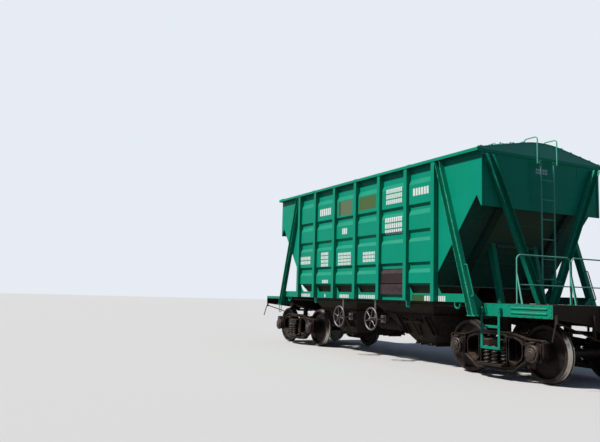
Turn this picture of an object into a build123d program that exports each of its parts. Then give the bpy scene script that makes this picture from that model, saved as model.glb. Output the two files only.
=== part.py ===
from build123d import *
from math import cos, radians, sin, sqrt, tan
import os

# A four-axle covered hopper wagon for powders, broad gauge, built at its real size.
# Millimetres. +X runs along the wagon towards the platform end "a", end "b" is the other end,
# -Y is the right-hand side, +Z is up. Heights named here are above the rail head, and up()
# turns them into heights above the floor that the wheel flanges stand on.

# Wheels and bogies
flange_height = 28.0
tread_radius = 475.0
wheel_back_gap = 1440.0
rim_width = 130.0
rim_thickness = 62.0
axle_radius = 82.0
journal_radius = 65.0
journal_y = 1018.0
wheelbase = 1850.0
pivot_x = 3900.0
hub_radius = 140.0
frame_width = 150.0
chord_top = 800.0
chord_low = 130.0
bolster_width = 430.0
bolster_low = 545.0
bolster_top = 762.0
spring_radius = 49.0
spring_reach = 75.0
spring_pitch = 185.0
spring_row = 120.0
spring_seat = 240.0
box_cover_radius = 148.0

# Underframe
beam_face = 5410.0
coupler_reach = 6010.0
coupler_height = 1060.0
deck_top = 1280.0
deck_thickness = 6.0
sill_web_gap = 350.0
sill_web = 10.0
sill_low = 940.0
sill_flange = 70.0
side_sill_low = 1280.0
side_sill_top = 1430.0
side_sill_flange = 80.0
platform_half = 1290.0
platform_low = 1060.0
platform_start = 3420.0
plate_start = 3890.0
bolster_beam_half = 200.0
centre_plate_radius = 150.0

# Body
sheet = 6.0
wall_y = 1500.0
bulge = 50.0
wall_low = 1585.0
end_x = 4050.0
end_half = wall_y
end_low = 2980.0
slope_foot_x = 2678.0
slope_degrees = 51.8
end_corner = 110.0
post_width = 100.0
post_depth = 100.0
post_places = (0.0, 965.0, 1940.0, 2820.0)
post_top = 3950.0

# Roof
roof_overhang = 10.0
roof_half = wall_y + post_depth + roof_overhang
roof_end = 4080.0
eave_low = post_top
eave_depth = 57.6
eave_top = eave_low + eave_depth
roof_slope = 0.19
crown_half = 500.0
crown_top = eave_top + (roof_half - crown_half) * roof_slope + crown_half * roof_slope / 2
bay_count = 4
hatch_radius = 300.0
coaming_height = 114.0
coaming_depth = 61.0
coaming_top = crown_top + coaming_height
coaming_wall = 8.0

# Lower hoppers
outlet_x0 = 1240.0
outlet_x1 = 1830.0
outlet_y0 = sill_web_gap / 2 + sill_web + sill_flange + 10.0
outlet_y1 = 700.0
outlet_z = 400.0
hopper_wall = 8.0

# Clearances: seat is between welded or resting pieces, fit is round a pin, run is between moving ones
seat = 0.3
fit = 0.3
run = 6.0


# Helpers

def up(height):
    return height + flange_height


def block(x0, x1, y0, y1, z0, z1):
    middle = Pos((x0 + x1) / 2, (y0 + y1) / 2, (z0 + z1) / 2)
    return middle * Box(abs(x1 - x0), abs(y1 - y0), abs(z1 - z0))


def side_plate(points, y0, y1):
    """Outline in length and height, carried across the wagon from y0 to y1."""
    outline = make_face(Polyline(*points, close=True))
    return extrude(Plane((0, y1, 0), x_dir=(1, 0, 0), z_dir=(0, -1, 0)) * outline, amount=y1 - y0)


def cross_plate(points, x0, x1):
    """Outline in width and height, carried along the wagon from x0 to x1."""
    outline = make_face(Polyline(*points, close=True))
    return extrude(Plane((x0, 0, 0), x_dir=(0, 1, 0), z_dir=(1, 0, 0)) * outline, amount=x1 - x0)


def floor_plate(points, z0, z1):
    """Outline in length and width, carried up from z0 to z1."""
    outline = make_face(Polyline(*points, close=True))
    return extrude(Plane((0, 0, z0)) * outline, amount=z1 - z0)


def tube(points, radius, bend):
    path = FilletPolyline(*points, radius=bend) if bend else Polyline(*points)
    return sweep(Plane(origin=path @ 0, z_dir=path % 0) * Circle(radius), path=path)


def rod(start, end, radius):
    return tube((start, end), radius, 0)


def across(x, y0, y1, z, radius):
    """Round bar across the wagon."""
    return Pos(x, (y0 + y1) / 2, z) * Rot(90, 0, 0) * Cylinder(radius, abs(y1 - y0))


def along(x0, x1, y, z, radius):
    """Round bar along the wagon."""
    return Pos((x0 + x1) / 2, y, z) * Rot(0, 90, 0) * Cylinder(radius, abs(x1 - x0))


def upright(x, y, z0, z1, radius):
    return Pos(x, y, (z0 + z1) / 2) * Cylinder(radius, z1 - z0)


def other_side(shape):
    return mirror(shape, about=Plane.XZ)


def other_end(shape):
    return mirror(shape, about=Plane.YZ)


def joined(pieces):
    whole = pieces[0]
    for piece in pieces[1:]:
        whole = whole + piece
    return whole


def slope_z(x):
    """Height of the end floor's upper face at x."""
    return up(wall_low) + (x - slope_foot_x) * tan(radians(slope_degrees))


def slope_x(z):
    return slope_foot_x + (z - up(wall_low)) / tan(radians(slope_degrees))


def roof_z(y):
    """Height of the roof's outer face on its straight part."""
    return up(eave_top) + (roof_half - abs(y)) * roof_slope


def all_posts():
    return sorted(set([-p for p in post_places] + list(post_places)))


def crown_z(y):
    """Height of the roof's outer face on its rounded crown."""
    rise = crown_half * roof_slope / 2
    radius = (rise * rise + crown_half * crown_half) / (2 * rise)
    return roof_z(crown_half) + rise - radius + sqrt(radius * radius - y * y)


nodes = {}


def keep(name, *solids):
    found = []
    for shape in solids:
        found.extend(shape.solids())
    nodes[name] = found


def keep_both_sides(name, shape):
    keep(name + "_right", shape)
    keep(name + "_left", other_side(shape))


# Centre sill: two webs under a top plate, from one end beam to the other

web_out = sill_web_gap / 2 + sill_web
sill_end = beam_face - 10.0
sill_top = up(deck_top - deck_thickness)
sill = block(-sill_end, sill_end, -web_out, web_out, up(sill_low), sill_top)
sill = sill - block(-sill_end, sill_end, -sill_web_gap / 2, sill_web_gap / 2,
                    up(sill_low), sill_top - sill_web)
for side in (-1, 1):
    sill = sill + block(-sill_end, sill_end, side * web_out, side * (web_out + sill_flange),
                        up(sill_low), up(sill_low) + sill_web)
keep("centre_sill", sill)

# Side sills: channels with their flanges inwards, feet under the posts and towing hooks

sill_skin = 8.0
sill_x = 3830.0
gusset_length = 110.0
hook_x = 3430.0
hook_radius = 70.0


def side_sill():
    y_face = -wall_y
    bottom = up(side_sill_low)
    top = up(side_sill_top)
    shape = block(-sill_x, sill_x, y_face, y_face + sill_skin, bottom, top)
    for low in (bottom, top - sill_skin):
        shape += block(-sill_x, sill_x, y_face, y_face + side_sill_flange, low, low + sill_skin)
    # gussets at the foot of each post, up to the wall's lower edge
    for place in all_posts():
        for side in (-1, 1):
            start = place + side * post_width / 2
            corner = ((start, top - 1), (start + side * gusset_length, top - 1), (start, up(wall_low) - 14))
            shape += side_plate(corner, y_face, y_face + sheet)
        shape += cross_plate(sill_diaphragm(bottom), place - sheet / 2, place + sheet / 2)
    for end in (-1, 1):
        foot_x = end * post_places[2]
        tab = ((foot_x - 75, bottom), (foot_x + 75, bottom), (foot_x + 55, bottom - 130),
               (foot_x - 55, bottom - 130))
        shape += side_plate(tab, y_face, y_face + 10)
    hook = tube(((hook_x - hook_radius, y_face + 4, bottom + 10),
                 (hook_x - hook_radius, y_face + 4, bottom - hook_radius * 1.6),
                 (hook_x + hook_radius, y_face + 4, bottom - hook_radius * 1.6),
                 (hook_x + hook_radius, y_face + 4, bottom - hook_radius * 0.4)), 16, hook_radius * 0.9)
    return shape + hook + other_end(hook)


def funnel_y(z):
    """Outer face of the lower hopper's side at height z, right-hand side."""
    share = (z - up(outlet_z)) / (wall_low - outlet_z)
    return -(outlet_y1 + hopper_wall + share * (wall_y - outlet_y1 - hopper_wall))


def sill_diaphragm(bottom):
    """Web plate that joins a side sill to the lower hopper's side."""
    high = up(wall_low) - 14
    return ((-wall_y + sill_skin / 2, bottom + 4), (funnel_y(bottom + 4) - seat, bottom + 4),
            (funnel_y(high) - seat, high), (-wall_y + 1, high))


keep_both_sides("side_sill", side_sill())

# End beams with the uncoupling lever, and the platforms behind them

beam_plate = 10.0
beam_mid_low = 850.0
beam_mid_half = 250.0
mouth_half = 160.0
mouth_height = 150.0
lever_z = up(1010.0)
lever_radius = 12.0
lever_fall = 290.0
lever_end_y = 300.0
handle_drop = 300.0
handle_out = 70.0
guide_y = 410.0
beam_knee_y = 450.0
beam_knee_low = 965.0
striker_border = 45.0
striker_depth = 50.0


def end_beam():
    half = ((beam_mid_half, up(beam_mid_low)), (beam_knee_y, up(beam_knee_low)),
            (platform_half, up(platform_low)), (platform_half, sill_top))
    outline = half + tuple((-y, z) for y, z in reversed(half))
    shape = cross_plate(outline, beam_face - beam_plate, beam_face)
    shape += block(beam_face - 80, beam_face - beam_plate / 2, -platform_half + 10, platform_half - 10,
                   sill_top - beam_plate, sill_top) \
        - block(beam_face - 100, beam_face - beam_plate, -web_out - seat, web_out + seat,
                up(sill_low), sill_top + 1)
    rim = mouth_half + striker_border
    shape += block(beam_face - 1, beam_face + striker_depth, -rim, rim,
                   up(coupler_height - mouth_height - striker_border),
                   up(coupler_height + mouth_height + striker_border))
    shape -= block(beam_face - 100, beam_face + striker_depth + 10, -mouth_half, mouth_half,
                   up(coupler_height - mouth_height), up(coupler_height + mouth_height))
    for y, low in ((platform_half - 40, lever_z - 40), (guide_y, lever_height(guide_y) - 30)):
        shape += block(beam_face, beam_face + 55, -y - 12, -y + 12, low, lever_z + 115)
    return shape


def lever_height(y):
    """Height of the uncoupling lever's sloping part, on the right-hand side."""
    return lever_z - lever_fall * (platform_half - 20 - y) / (platform_half - 20 - lever_end_y)


def uncoupling_lever():
    x = beam_face + 38
    points = ((x, -platform_half - handle_out, lever_z - handle_drop), (x, -platform_half + 20, lever_z),
              (x, -lever_end_y, lever_z - lever_fall), (x + 120, -lever_end_y + 60, lever_z - lever_fall - 10))
    return tube(points, lever_radius, 30)


platform_end = beam_face - beam_plate - seat


def platform():
    deck = block(platform_start, platform_end, -platform_half, platform_half,
                 up(deck_top - deck_thickness), up(deck_top))
    return deck


# The end beam with its lever, and the deck that starts behind it, make one platform
head_stock = end_beam() + uncoupling_lever()
keep("platform_a", platform(), head_stock)
keep("platform_b", other_end(platform()), other_end(head_stock))

# Side plates of the platforms, each with its step ladder

rib_x0 = 4530.0
rib_x1 = 5290.0
step_x0 = 3885.0
step_x1 = 4300.0
step_low = 500.0
step_mid = 860.0
step_bar = 50.0
step_out = 60.0
rib_heights = (1130.0, 1208.0)
knee_thickness = 20.0
edge_depth = 60.0
step_top = 1220.0
step_bracket = 80.0


def corner_knee():
    """Plate across from the side sill's end down to the platform's edge."""
    outline = ((-wall_y, up(platform_low)), (-platform_half, up(platform_low)),
               (-platform_half, up(deck_top)), (-wall_y + 50, up(side_sill_top)), (-wall_y, up(side_sill_top)))
    return cross_plate(outline, sill_x + seat, sill_x + seat + knee_thickness)


def corner_step():
    top = up(deck_top - deck_thickness)
    y_face = -platform_half
    shape = block(plate_start, platform_end, y_face, y_face + sill_skin, up(platform_low), top)
    shape += block(sill_x + seat, platform_end, y_face, y_face + 60, up(platform_low),
                   up(platform_low) + sill_skin)
    for height in rib_heights:
        rib = ((y_face + 1, up(height) - 22), (y_face - 16, up(height) - 8), (y_face - 16, up(height) + 8),
               (y_face + 1, up(height) + 22))
        shape += cross_plate(rib, rib_x0, rib_x1)
    for x in (step_x0, step_x1):
        shape += block(x - step_bar / 2, x + step_bar / 2, y_face - step_out, y_face - step_out + 10,
                       up(step_low), up(step_top))
        shape += block(x - step_bar / 2, x + step_bar / 2, y_face - step_out, y_face,
                       up(step_top) - 20 - step_bracket, up(step_top) - 20)
    shape += corner_knee()
    for height, depth in ((step_low, 80), (step_mid, 60)):
        shape += block(step_x0 - step_bar / 2, step_x1 + step_bar / 2, y_face - step_out,
                       y_face - step_out + depth, up(height), up(height) + 8)
        shape += block(step_x0 - step_bar / 2, step_x1 + step_bar / 2, y_face - step_out,
                       y_face - step_out + 8, up(height), up(height) + 45)
    return shape


def corner_edge():
    """The other end has no steps, only an angle under the deck's edge and the knee."""
    top = up(deck_top - deck_thickness)
    y_face = -platform_half
    start = sill_x + seat
    shape = corner_knee() + block(start, platform_end, y_face, y_face + sill_skin, top - edge_depth, top)
    shape += block(start, start + knee_thickness, y_face - 1, y_face + sill_skin, up(platform_low), top)
    return shape


keep_both_sides("corner_step_a", corner_step())
keep_both_sides("corner_step_b", other_end(corner_edge()))

# Body bolsters with their centre plates

bolster_beam_low = 860.0
bowl_floor = 6.0
jack_pad_z = 1010.0
jack_pad_y = platform_half - 130.0
jack_pad_half = 61.0
bearer_y = 760.0


def body_bolster():
    out = platform_half - sill_skin - seat
    shape = None
    for side in (-1, 1):
        outline = ((side * (web_out + sill_flange + seat), up(bolster_beam_low)),
                   (side * (out - 60), up(platform_low) + sill_skin), (side * out, up(platform_low + 60)),
                   (side * out, sill_top - seat), (side * (web_out + seat), sill_top - seat),
                   (side * (web_out + seat), up(sill_low) + sill_web + seat),
                   (side * (web_out + sill_flange + seat), up(sill_low) + sill_web + seat))
        arm = cross_plate(outline, pivot_x - bolster_beam_half, pivot_x + bolster_beam_half)
        arm -= cross_plate(((side * (web_out + 200), up(930)), (side * (out - 40), up(1090)),
                            (side * (out - 40), sill_top - 40), (side * (web_out + 200), sill_top - 40)),
                           pivot_x - bolster_beam_half + 60, pivot_x + bolster_beam_half + 10)
        arm += block(pivot_x - 100, pivot_x + 100, side * (jack_pad_y - jack_pad_half),
                     side * (jack_pad_y + jack_pad_half), up(jack_pad_z), up(platform_low) + 15)
        shape = arm if shape is None else shape + arm
    plate = upright(pivot_x, 0, up(bolster_top + bowl_floor) + seat, up(sill_low) - seat,
                    centre_plate_radius)
    for side in (-1, 1):
        shape += block(pivot_x - 60, pivot_x + 60, side * (bearer_y - 40), side * (bearer_y + 40),
                       up(bolster_top) + run, up(980))
    plate += block(pivot_x - bolster_beam_half, pivot_x + bolster_beam_half, -(web_out + sill_flange + 60),
                   web_out + sill_flange + 60, up(sill_low) - seat - 20, up(sill_low) - seat)
    return shape, plate


bolster_arms, pivot_plate = body_bolster()
keep("body_bolster_a", bolster_arms + pivot_plate)
keep("body_bolster_b", other_end(bolster_arms + pivot_plate))

# Side walls: pressed sheets between the posts

# rows of pressed fields: low edge, face from, face to, top edge
field_rows = ((3175.0, 3200.0, 3600.0, 3710.0),
              (2630.0, 2690.0, 2985.0, 3090.0),
              (2020.0, 2040.0, 2450.0, 2530.0),
              (1600.0, 1625.0, 1830.0, 1910.0))
field_side = 30.0
field_margin = 5.0
wall_end = end_x - sheet - seat


def frustum(x0, x1, z0, z1, inner_x0, inner_x1, inner_z0, inner_z1, y_back, y_front):
    back = Plane((0, y_back, 0), x_dir=(1, 0, 0), z_dir=(0, -1, 0)) * make_face(
        Polyline((x0, z0), (x1, z0), (x1, z1), (x0, z1), close=True))
    front = Plane((0, y_front, 0), x_dir=(1, 0, 0), z_dir=(0, -1, 0)) * make_face(
        Polyline((inner_x0, inner_z0), (inner_x1, inner_z0), (inner_x1, inner_z1),
                 (inner_x0, inner_z1), close=True))
    return loft([back, front], ruled=True)


def wall_sheet():
    top = roof_z(wall_y) - sheet - seat
    foot = slope_x(up(wall_low))
    under = slope_run(sheet)
    corner_x = end_x - end_corner
    outline = ((-foot - under, up(wall_low)), (foot + under, up(wall_low)),
               (corner_x, slope_z(corner_x - under)), (wall_end, up(end_low)), (wall_end, top),
               (-wall_end, top), (-wall_end, up(end_low)), (-corner_x, slope_z(corner_x - under)))
    shape = side_plate(outline, -wall_y, -wall_y + sheet)
    hollows = []
    raised = []
    for bay in bays():
        x0, x1 = bay
        for low, face_low, face_high, high in field_rows:
            size = (x0, x1, up(low), up(high), x0 + field_side, x1 - field_side,
                    up(face_low), up(face_high))
            raised.append(frustum(*size, -wall_y + 1, -wall_y - bulge))
            inner = (x0 + sheet, x1 - sheet, up(low) + sheet * 0.6, up(high) - sheet,
                     x0 + field_side + 4, x1 - field_side - 4, up(face_low) + 4, up(face_high) - 4)
            hollows.append(frustum(*inner, -wall_y + sheet + 1, -wall_y - bulge + sheet))
    shape = shape + raised
    shape = shape - hollows
    for place in all_posts():
        post = block(place - post_width / 2, place + post_width / 2, -wall_y - post_depth, -wall_y,
                     up(side_sill_low), up(post_top))
        post -= block(place - post_width / 2 + sheet, place + post_width / 2 - sheet,
                      -wall_y - post_depth + sheet, -wall_y, up(side_sill_low) - 1, up(post_top) - sheet)
        shape = shape + post
    return shape


def slope_run(thickness):
    """Level width of a sheet on the end floor's slope."""
    return thickness / sin(radians(slope_degrees))


def bays():
    places = all_posts()
    clear = post_width / 2 + field_margin
    return [(left + clear, right - clear) for left, right in zip(places, places[1:])]


keep_both_sides("side_wall", wall_sheet())

# End walls with the gable over them

gable_x = roof_end - 12.0


def roof_outline(drop, half):
    """Half-open outline of the roof's outer face, lowered by drop, between plus and minus half."""
    crown = up(eave_top) + (roof_half - crown_half) * roof_slope - drop
    apex = crown + crown_half * roof_slope / 2
    edge = up(eave_top) + (roof_half - half) * roof_slope - drop
    return edge, crown, apex


def roof_face(drop, half, bottom):
    edge, crown, apex = roof_outline(drop, half)
    lines = [Line((-half, bottom), (-half, edge)), Line((-half, edge), (-crown_half, crown)),
             ThreePointArc((-crown_half, crown), (0, apex), (crown_half, crown)),
             Line((crown_half, crown), (half, edge)), Line((half, edge), (half, bottom)),
             Line((half, bottom), (-half, bottom))]
    return make_face(lines)


def roof_bar(drop, half, bottom, x0, x1):
    return extrude(Plane((x0, 0, 0), x_dir=(0, 1, 0), z_dir=(1, 0, 0)) * roof_face(drop, half, bottom),
                   amount=x1 - x0)


def end_wall():
    shape = block(end_x - sheet, end_x, -end_half, end_half, up(end_low), up(eave_low))
    shape += block(end_x - sheet, gable_x, -end_half, end_half, up(eave_low) - sheet, up(eave_low))
    shape += roof_bar(sheet + seat, roof_half - sheet - seat, up(eave_low) - sheet, gable_x - sheet, gable_x)
    for y in (-end_half, end_half - 40):
        shape += block(end_x - sheet, end_x + 20, y, y + 40, up(end_low), up(eave_low))
    return shape


keep("end_wall_a", end_wall())
keep("end_wall_b", other_end(end_wall()))

# Sloping end floors with their ribs and cross bearer

rib_y = 880.0
rib_width = 140.0
rib_depth = 90.0
bearer_z = 2330.0
inner_strut_y = 540.0
inner_strut_depth = 90.0


def end_floor():
    half = wall_y - sheet - seat
    run_x = slope_run(sheet)
    tip_x = wall_end
    outline = ((slope_foot_x, up(wall_low)), (slope_foot_x + run_x, up(wall_low)),
               (tip_x, slope_z(tip_x - run_x)), (tip_x, slope_z(tip_x)))
    shape = side_plate(outline, -half, half)
    deep = slope_run(sheet + rib_depth)
    foot = 60.0
    rib = ((slope_foot_x + run_x * 0.5 + foot, slope_z(slope_foot_x + foot)),
           (slope_foot_x + deep + foot, slope_z(slope_foot_x + foot)),
           (tip_x, slope_z(tip_x - deep)), (tip_x, slope_z(tip_x - run_x * 0.5)))
    for y in (-rib_y, rib_y):
        shape += side_plate(rib, y - rib_width / 2, y + rib_width / 2)
    x_bearer = slope_x(up(bearer_z))
    angle = ((x_bearer + run_x * 0.5, up(bearer_z)), (x_bearer + deep, up(bearer_z)),
             (x_bearer + deep, up(bearer_z) + 60), (x_bearer + run_x * 0.5 + 40, up(bearer_z) + 60))
    reach = inner_strut_y - inner_strut_depth / 2 - seat
    return shape + side_plate(angle, -reach, reach)


keep("end_floor_a", end_floor())
keep("end_floor_b", other_end(end_floor()))

# Lower hoppers: a funnel on each side of the centre sill, with a flange round each outlet

outlet_flange = 40.0
flange_thickness = 8.0
belt_z = 990.0


def funnel_box(z, grow, side):
    """Plan corners of the right-hand funnel at height z, grown outwards."""
    share = (z - outlet_z) / (wall_low - outlet_z)
    x0 = outlet_x0 + share * (hopper_wall + seat / 2 - outlet_x0) - grow
    x1 = outlet_x1 + share * (slope_foot_x - outlet_x1) + grow
    y1 = outlet_y1 + share * (wall_y - hopper_wall - outlet_y1) + grow
    y0 = outlet_y0 + hopper_wall - grow
    return x0, x1, side * y0, side * y1


def funnel_section(z, grow, side):
    x0, x1, y0, y1 = funnel_box(z, grow, side)
    return Plane((0, 0, up(z))) * make_face(Polyline((x0, y0), (x1, y0), (x1, y1), (x0, y1), close=True))


def funnel(side):
    outer = loft([funnel_section(outlet_z, hopper_wall, side), funnel_section(wall_low, hopper_wall, side)],
                 ruled=True)
    inner = loft([funnel_section(outlet_z, 0, side), funnel_section(wall_low, 0, side)], ruled=True)
    x0, x1, y0, y1 = funnel_box(outlet_z, outlet_flange, side)
    y_in = side * outlet_y0
    rim = block(x0, x1, y_in, y1, up(outlet_z), up(outlet_z) + flange_thickness)
    bx0, bx1, by0, by1 = funnel_box(belt_z, hopper_wall + 45, side)
    belt = block(bx0, bx1, y_in, by1, up(belt_z), up(belt_z) + 10)
    return outer + rim + belt - inner


# Hinge of each outlet flap: two lugs on the hopper hold a pin, the flap's eye turns on it

flap_gap = run
flap_thickness = 10.0
flap_pin_y = outlet_y1 + outlet_flange + 30.0
flap_pin_z = up(outlet_z) - flap_gap - flap_thickness / 2
pin_radius = 8.0
eye_radius = 18.0
eye_length = 36.0
lug_thickness = 10.0
lug_gap = 5.0
flap_inset = 16.0
flap_hinge_x = (outlet_x0 + 60.0, outlet_x1 - 60.0)


def flap_lugs(side):
    pieces = []
    for x in flap_hinge_x:
        for end in (-1, 1):
            inner = x + end * (eye_length / 2 + lug_gap)
            outer = inner + end * lug_thickness
            pieces.append(block(inner, outer, side * (outlet_y1 + outlet_flange - 6),
                                side * (flap_pin_y + 16), flap_pin_z - 14, up(outlet_z) + flange_thickness))
        reach = eye_length / 2 + lug_gap + lug_thickness
        pieces.append(along(x - reach, x + reach, side * flap_pin_y, flap_pin_z, pin_radius))
    return pieces


def flap(side):
    x0, x1, y0, y1 = funnel_box(outlet_z, outlet_flange - flap_inset, side)
    top = up(outlet_z) - flap_gap
    plate = block(x0, x1, side * (outlet_y0 + 5), y1, top - flap_thickness, top)
    for x in (x0 + 60, (x0 + x1) / 2, x1 - 60):
        plate += block(x - 5, x + 5, side * (outlet_y0 + 15), y1 - side * 60, top - flap_thickness - 40,
                       top - flap_thickness)
    for x in flap_hinge_x:
        plate += block(x - eye_length / 2, x + eye_length / 2, y1 - side * 20, side * flap_pin_y,
                       top - flap_thickness, top)
        plate += along(x - eye_length / 2, x + eye_length / 2, side * flap_pin_y, flap_pin_z, eye_radius)
        plate -= along(x - eye_length, x + eye_length, side * flap_pin_y, flap_pin_z, pin_radius + fit)
    return plate


hopper_right = joined([funnel(-1)] + flap_lugs(-1))
hopper_left = joined([funnel(1)] + flap_lugs(1))
keep("lower_hopper_a", hopper_right, hopper_left)
keep("lower_hopper_b", other_end(hopper_right), other_end(hopper_left))
keep_both_sides("outlet_flap_a", flap(-1))
keep_both_sides("outlet_flap_b", other_end(flap(-1)))

# Saddle over the centre sill, between the funnels

saddle_rise = 230.0


def saddle():
    half = outlet_y0 + hopper_wall / 2
    length = slope_foot_x
    low = up(wall_low) + seat
    drop = sheet * 1.4
    outline = ((-half, low), (0, low + saddle_rise), (half, low), (half - drop, low),
               (0, low + saddle_rise - drop), (-half + drop, low))
    return cross_plate(outline, -length, length)


keep("sill_saddle", saddle())

# Roof: pressed bays, each with a round loading hatch

bay_length = 2 * roof_end / bay_count
bay_gap = seat
lid_gap = run
lid_wall = 8.0
lid_radius = hatch_radius + coaming_wall + 32.0
lid_drop = 36.0
lid_pin_y = lid_radius + 36.0
lid_pin_z = up(coaming_top) + lid_gap
lid_lug_x = 120.0


def roof_bay(index):
    x0 = -roof_end + index * bay_length + bay_gap / 2
    x1 = x0 + bay_length - bay_gap
    middle = (x0 + x1) / 2
    shell = roof_bar(0, roof_half, up(eave_low), x0, x1)
    shell -= roof_bar(sheet, roof_half - sheet, up(eave_low) - 1, x0 - 1, x1 + 1)
    ring = upright(middle, 0, up(crown_top - coaming_depth), up(coaming_top), hatch_radius + coaming_wall)
    shell = shell + ring
    seat_plate = block(middle - lid_lug_x - 30, middle + lid_lug_x + 30, hatch_radius, lid_pin_y + 18,
                       up(coaming_top) - 80, up(coaming_top) - 68)
    shell = shell + seat_plate
    for side in (-1, 1):
        for end in (-1, 1):
            inner = middle + side * lid_lug_x + end * (eye_length / 2 + lug_gap)
            outer = inner + end * lug_thickness
            shell += block(inner, outer, lid_pin_y - 20, lid_pin_y + 18, up(coaming_top) - 70, lid_pin_z + 14)
        reach = eye_length / 2 + lug_gap + lug_thickness
        centre = middle + side * lid_lug_x
        shell += along(centre - reach, centre + reach, lid_pin_y, lid_pin_z, pin_radius)
    bore = upright(middle, 0, up(eave_top), up(coaming_top) + 10, hatch_radius)
    return shell - bore, middle


def hatch_lid(middle):
    low = lid_pin_z
    profile = Polyline((0, low), (lid_radius - lid_wall, low), (lid_radius - lid_wall, low - lid_drop),
                       (lid_radius, low - lid_drop), (lid_radius, low + lid_wall),
                       (lid_radius - 60, low + lid_wall), (lid_radius - 110, low + 34), (0, low + 46),
                       close=True)
    dish = revolve(Plane.XZ * make_face(profile), axis=Axis.Z)
    dish = Pos(middle, 0, 0) * dish
    for side in (-1, 1):
        x = middle + side * lid_lug_x
        dish += block(x - eye_length / 2, x + eye_length / 2, lid_radius - 60, lid_pin_y,
                      low, low + lid_wall + 6)
        dish += along(x - eye_length / 2, x + eye_length / 2, lid_pin_y, lid_pin_z, eye_radius)
        dish -= along(x - eye_length, x + eye_length, lid_pin_y, lid_pin_z, pin_radius + fit)
    return dish


for index in range(bay_count):
    bay, hatch_x = roof_bay(index)
    keep("roof_bay_" + str(index + 1), bay)
    keep("hatch_lid_" + str(index + 1), hatch_lid(hatch_x))

# Running boards on both sides of the hatches

board_y0 = 450.0
board_width = 250.0
board_y1 = board_y0 + board_width
board_clear = 19.0
board_low = up(crown_top) + board_clear
board_thickness = 25.0
board_end = roof_end - 900.0
bracket_count = 6
bracket_inset = 120.0


def running_board(side):
    board = block(-board_end, board_end, side * board_y0, side * board_y1, board_low,
                  board_low + board_thickness)
    for step in range(bracket_count):
        x = (board_end - bracket_inset) * (2 * step / (bracket_count - 1) - 1)
        foot = ((side * board_y1, board_low), (side * (crown_half + 10), board_low),
                (side * (crown_half + 10), roof_z(crown_half + 10) + seat),
                (side * board_y1, roof_z(board_y1) + seat))
        board += cross_plate(foot, x - 20, x + 20)
    return board


keep("running_board", running_board(-1), running_board(1))

# Corner braces: channels from the wall's top down to the sill, each with its grab rail

brace_top_x = post_places[3] + post_width / 2 + 70.0 + seat
brace_foot_x = 3885.0
brace_width = 140.0
brace_depth = 70.0
brace_foot_z = 1060.0
brace_out = wall_y + post_depth
foot_plate_before = 95.0
foot_plate_after = 125.0
grab_top = 1950.0
grab_low = 1390.0
grab_reach = 70.0
stirrup_half = 60.0
stirrup_drop = 200.0


def corner_brace():
    low = up(brace_foot_z)
    high = up(post_top)
    y_out = -brace_out
    half = brace_width / 2
    y_in = -wall_y - seat
    outline = ((brace_foot_x - half, low), (brace_foot_x + half, low),
               (brace_top_x + half, high), (brace_top_x - half, high))
    shape = side_plate(outline, y_out, y_in)
    wall = 10.0
    inner = ((brace_foot_x - half + wall, low), (brace_foot_x + half - wall, low),
             (brace_top_x + half - wall, high), (brace_top_x - half + wall, high))
    shape -= side_plate(inner, y_out - 1, y_in - wall)
    foot = block(brace_foot_x - foot_plate_before, brace_foot_x + foot_plate_after, y_out - 10, y_in,
                 low - 12, low)
    lean = (brace_foot_x - brace_top_x) / (high - low)
    rail_x = brace_foot_x + half - (up(grab_top) - low) * lean
    foot_x = brace_foot_x + half - (up(grab_low) - low) * lean
    y_rail = y_out + 55
    rail = tube(((rail_x - 6, y_rail, up(grab_top)), (rail_x + grab_reach, y_rail, up(grab_top)),
                 (foot_x + grab_reach, y_rail, up(grab_low)), (foot_x - 6, y_rail, up(grab_low))), 11, 25)
    return shape + foot + rail


def foot_stirrup():
    """Step below the brace's foot, at the end that has no ladders."""
    y = -brace_out + 40
    top = up(brace_foot_z) - 6
    x0 = brace_foot_x + 20 - stirrup_half
    x1 = brace_foot_x + 20 + stirrup_half
    return tube(((x0, y, top), (x0, y, top - stirrup_drop), (x1, y, top - stirrup_drop), (x1, y, top)), 9, 25)


keep_both_sides("corner_brace_a", corner_brace())
keep_both_sides("corner_brace_b", other_end(corner_brace() + foot_stirrup()))

# End struts: a V from the upper corners to the centre sill, and two inner struts under the slope

strut_depth = 90.0
strut_width = 160.0
strut_wall = 10.0
strut_x = end_x + 20.0 + seat
strut_foot_y = 150.0
strut_drop = 50.0
strut_top_y = end_half - 135.0
inner_strut_width = 100.0
inner_foot_x = 3530.0
inner_head_x = 3285.0


def end_struts(side):
    x0 = strut_x
    low = up(deck_top) + seat
    high = up(eave_low - strut_drop)
    half = strut_width / 2
    outline = ((side * (strut_foot_y - half), low), (side * (strut_foot_y + half), low),
               (side * (strut_top_y + half), high), (side * (strut_top_y - half), high))
    leg = cross_plate(outline, x0, x0 + strut_depth)
    hollow = half - strut_wall
    inner = ((side * (strut_foot_y - hollow), low - 1), (side * (strut_foot_y + hollow), low - 1),
             (side * (strut_top_y + hollow), high + 1), (side * (strut_top_y - hollow), high + 1))
    leg -= cross_plate(inner, x0 + strut_wall, x0 + strut_depth + 1)
    leg += block(end_x + seat, x0 + 2, side * (strut_top_y - 80), side * (strut_top_y + 60), high - 160, high)
    under = slope_run(sheet) + seat
    half = inner_strut_width / 2
    outline = ((inner_foot_x - half, low), (inner_foot_x + half, low),
               (inner_head_x + half, slope_z(inner_head_x + half - under)),
               (inner_head_x - half, slope_z(inner_head_x - half - under)))
    thick = inner_strut_depth / 2
    inner_leg = side_plate(outline, side * inner_strut_y - thick, side * inner_strut_y + thick)
    return leg, inner_leg


for end, turn in (("a", False), ("b", True)):
    for hand, side in (("right", -1), ("left", 1)):
        legs = end_struts(side)
        keep("end_struts_" + end + "_" + hand, *[other_end(leg) if turn else leg for leg in legs])

# End ladder with the grab hoops over the roof edge

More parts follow.
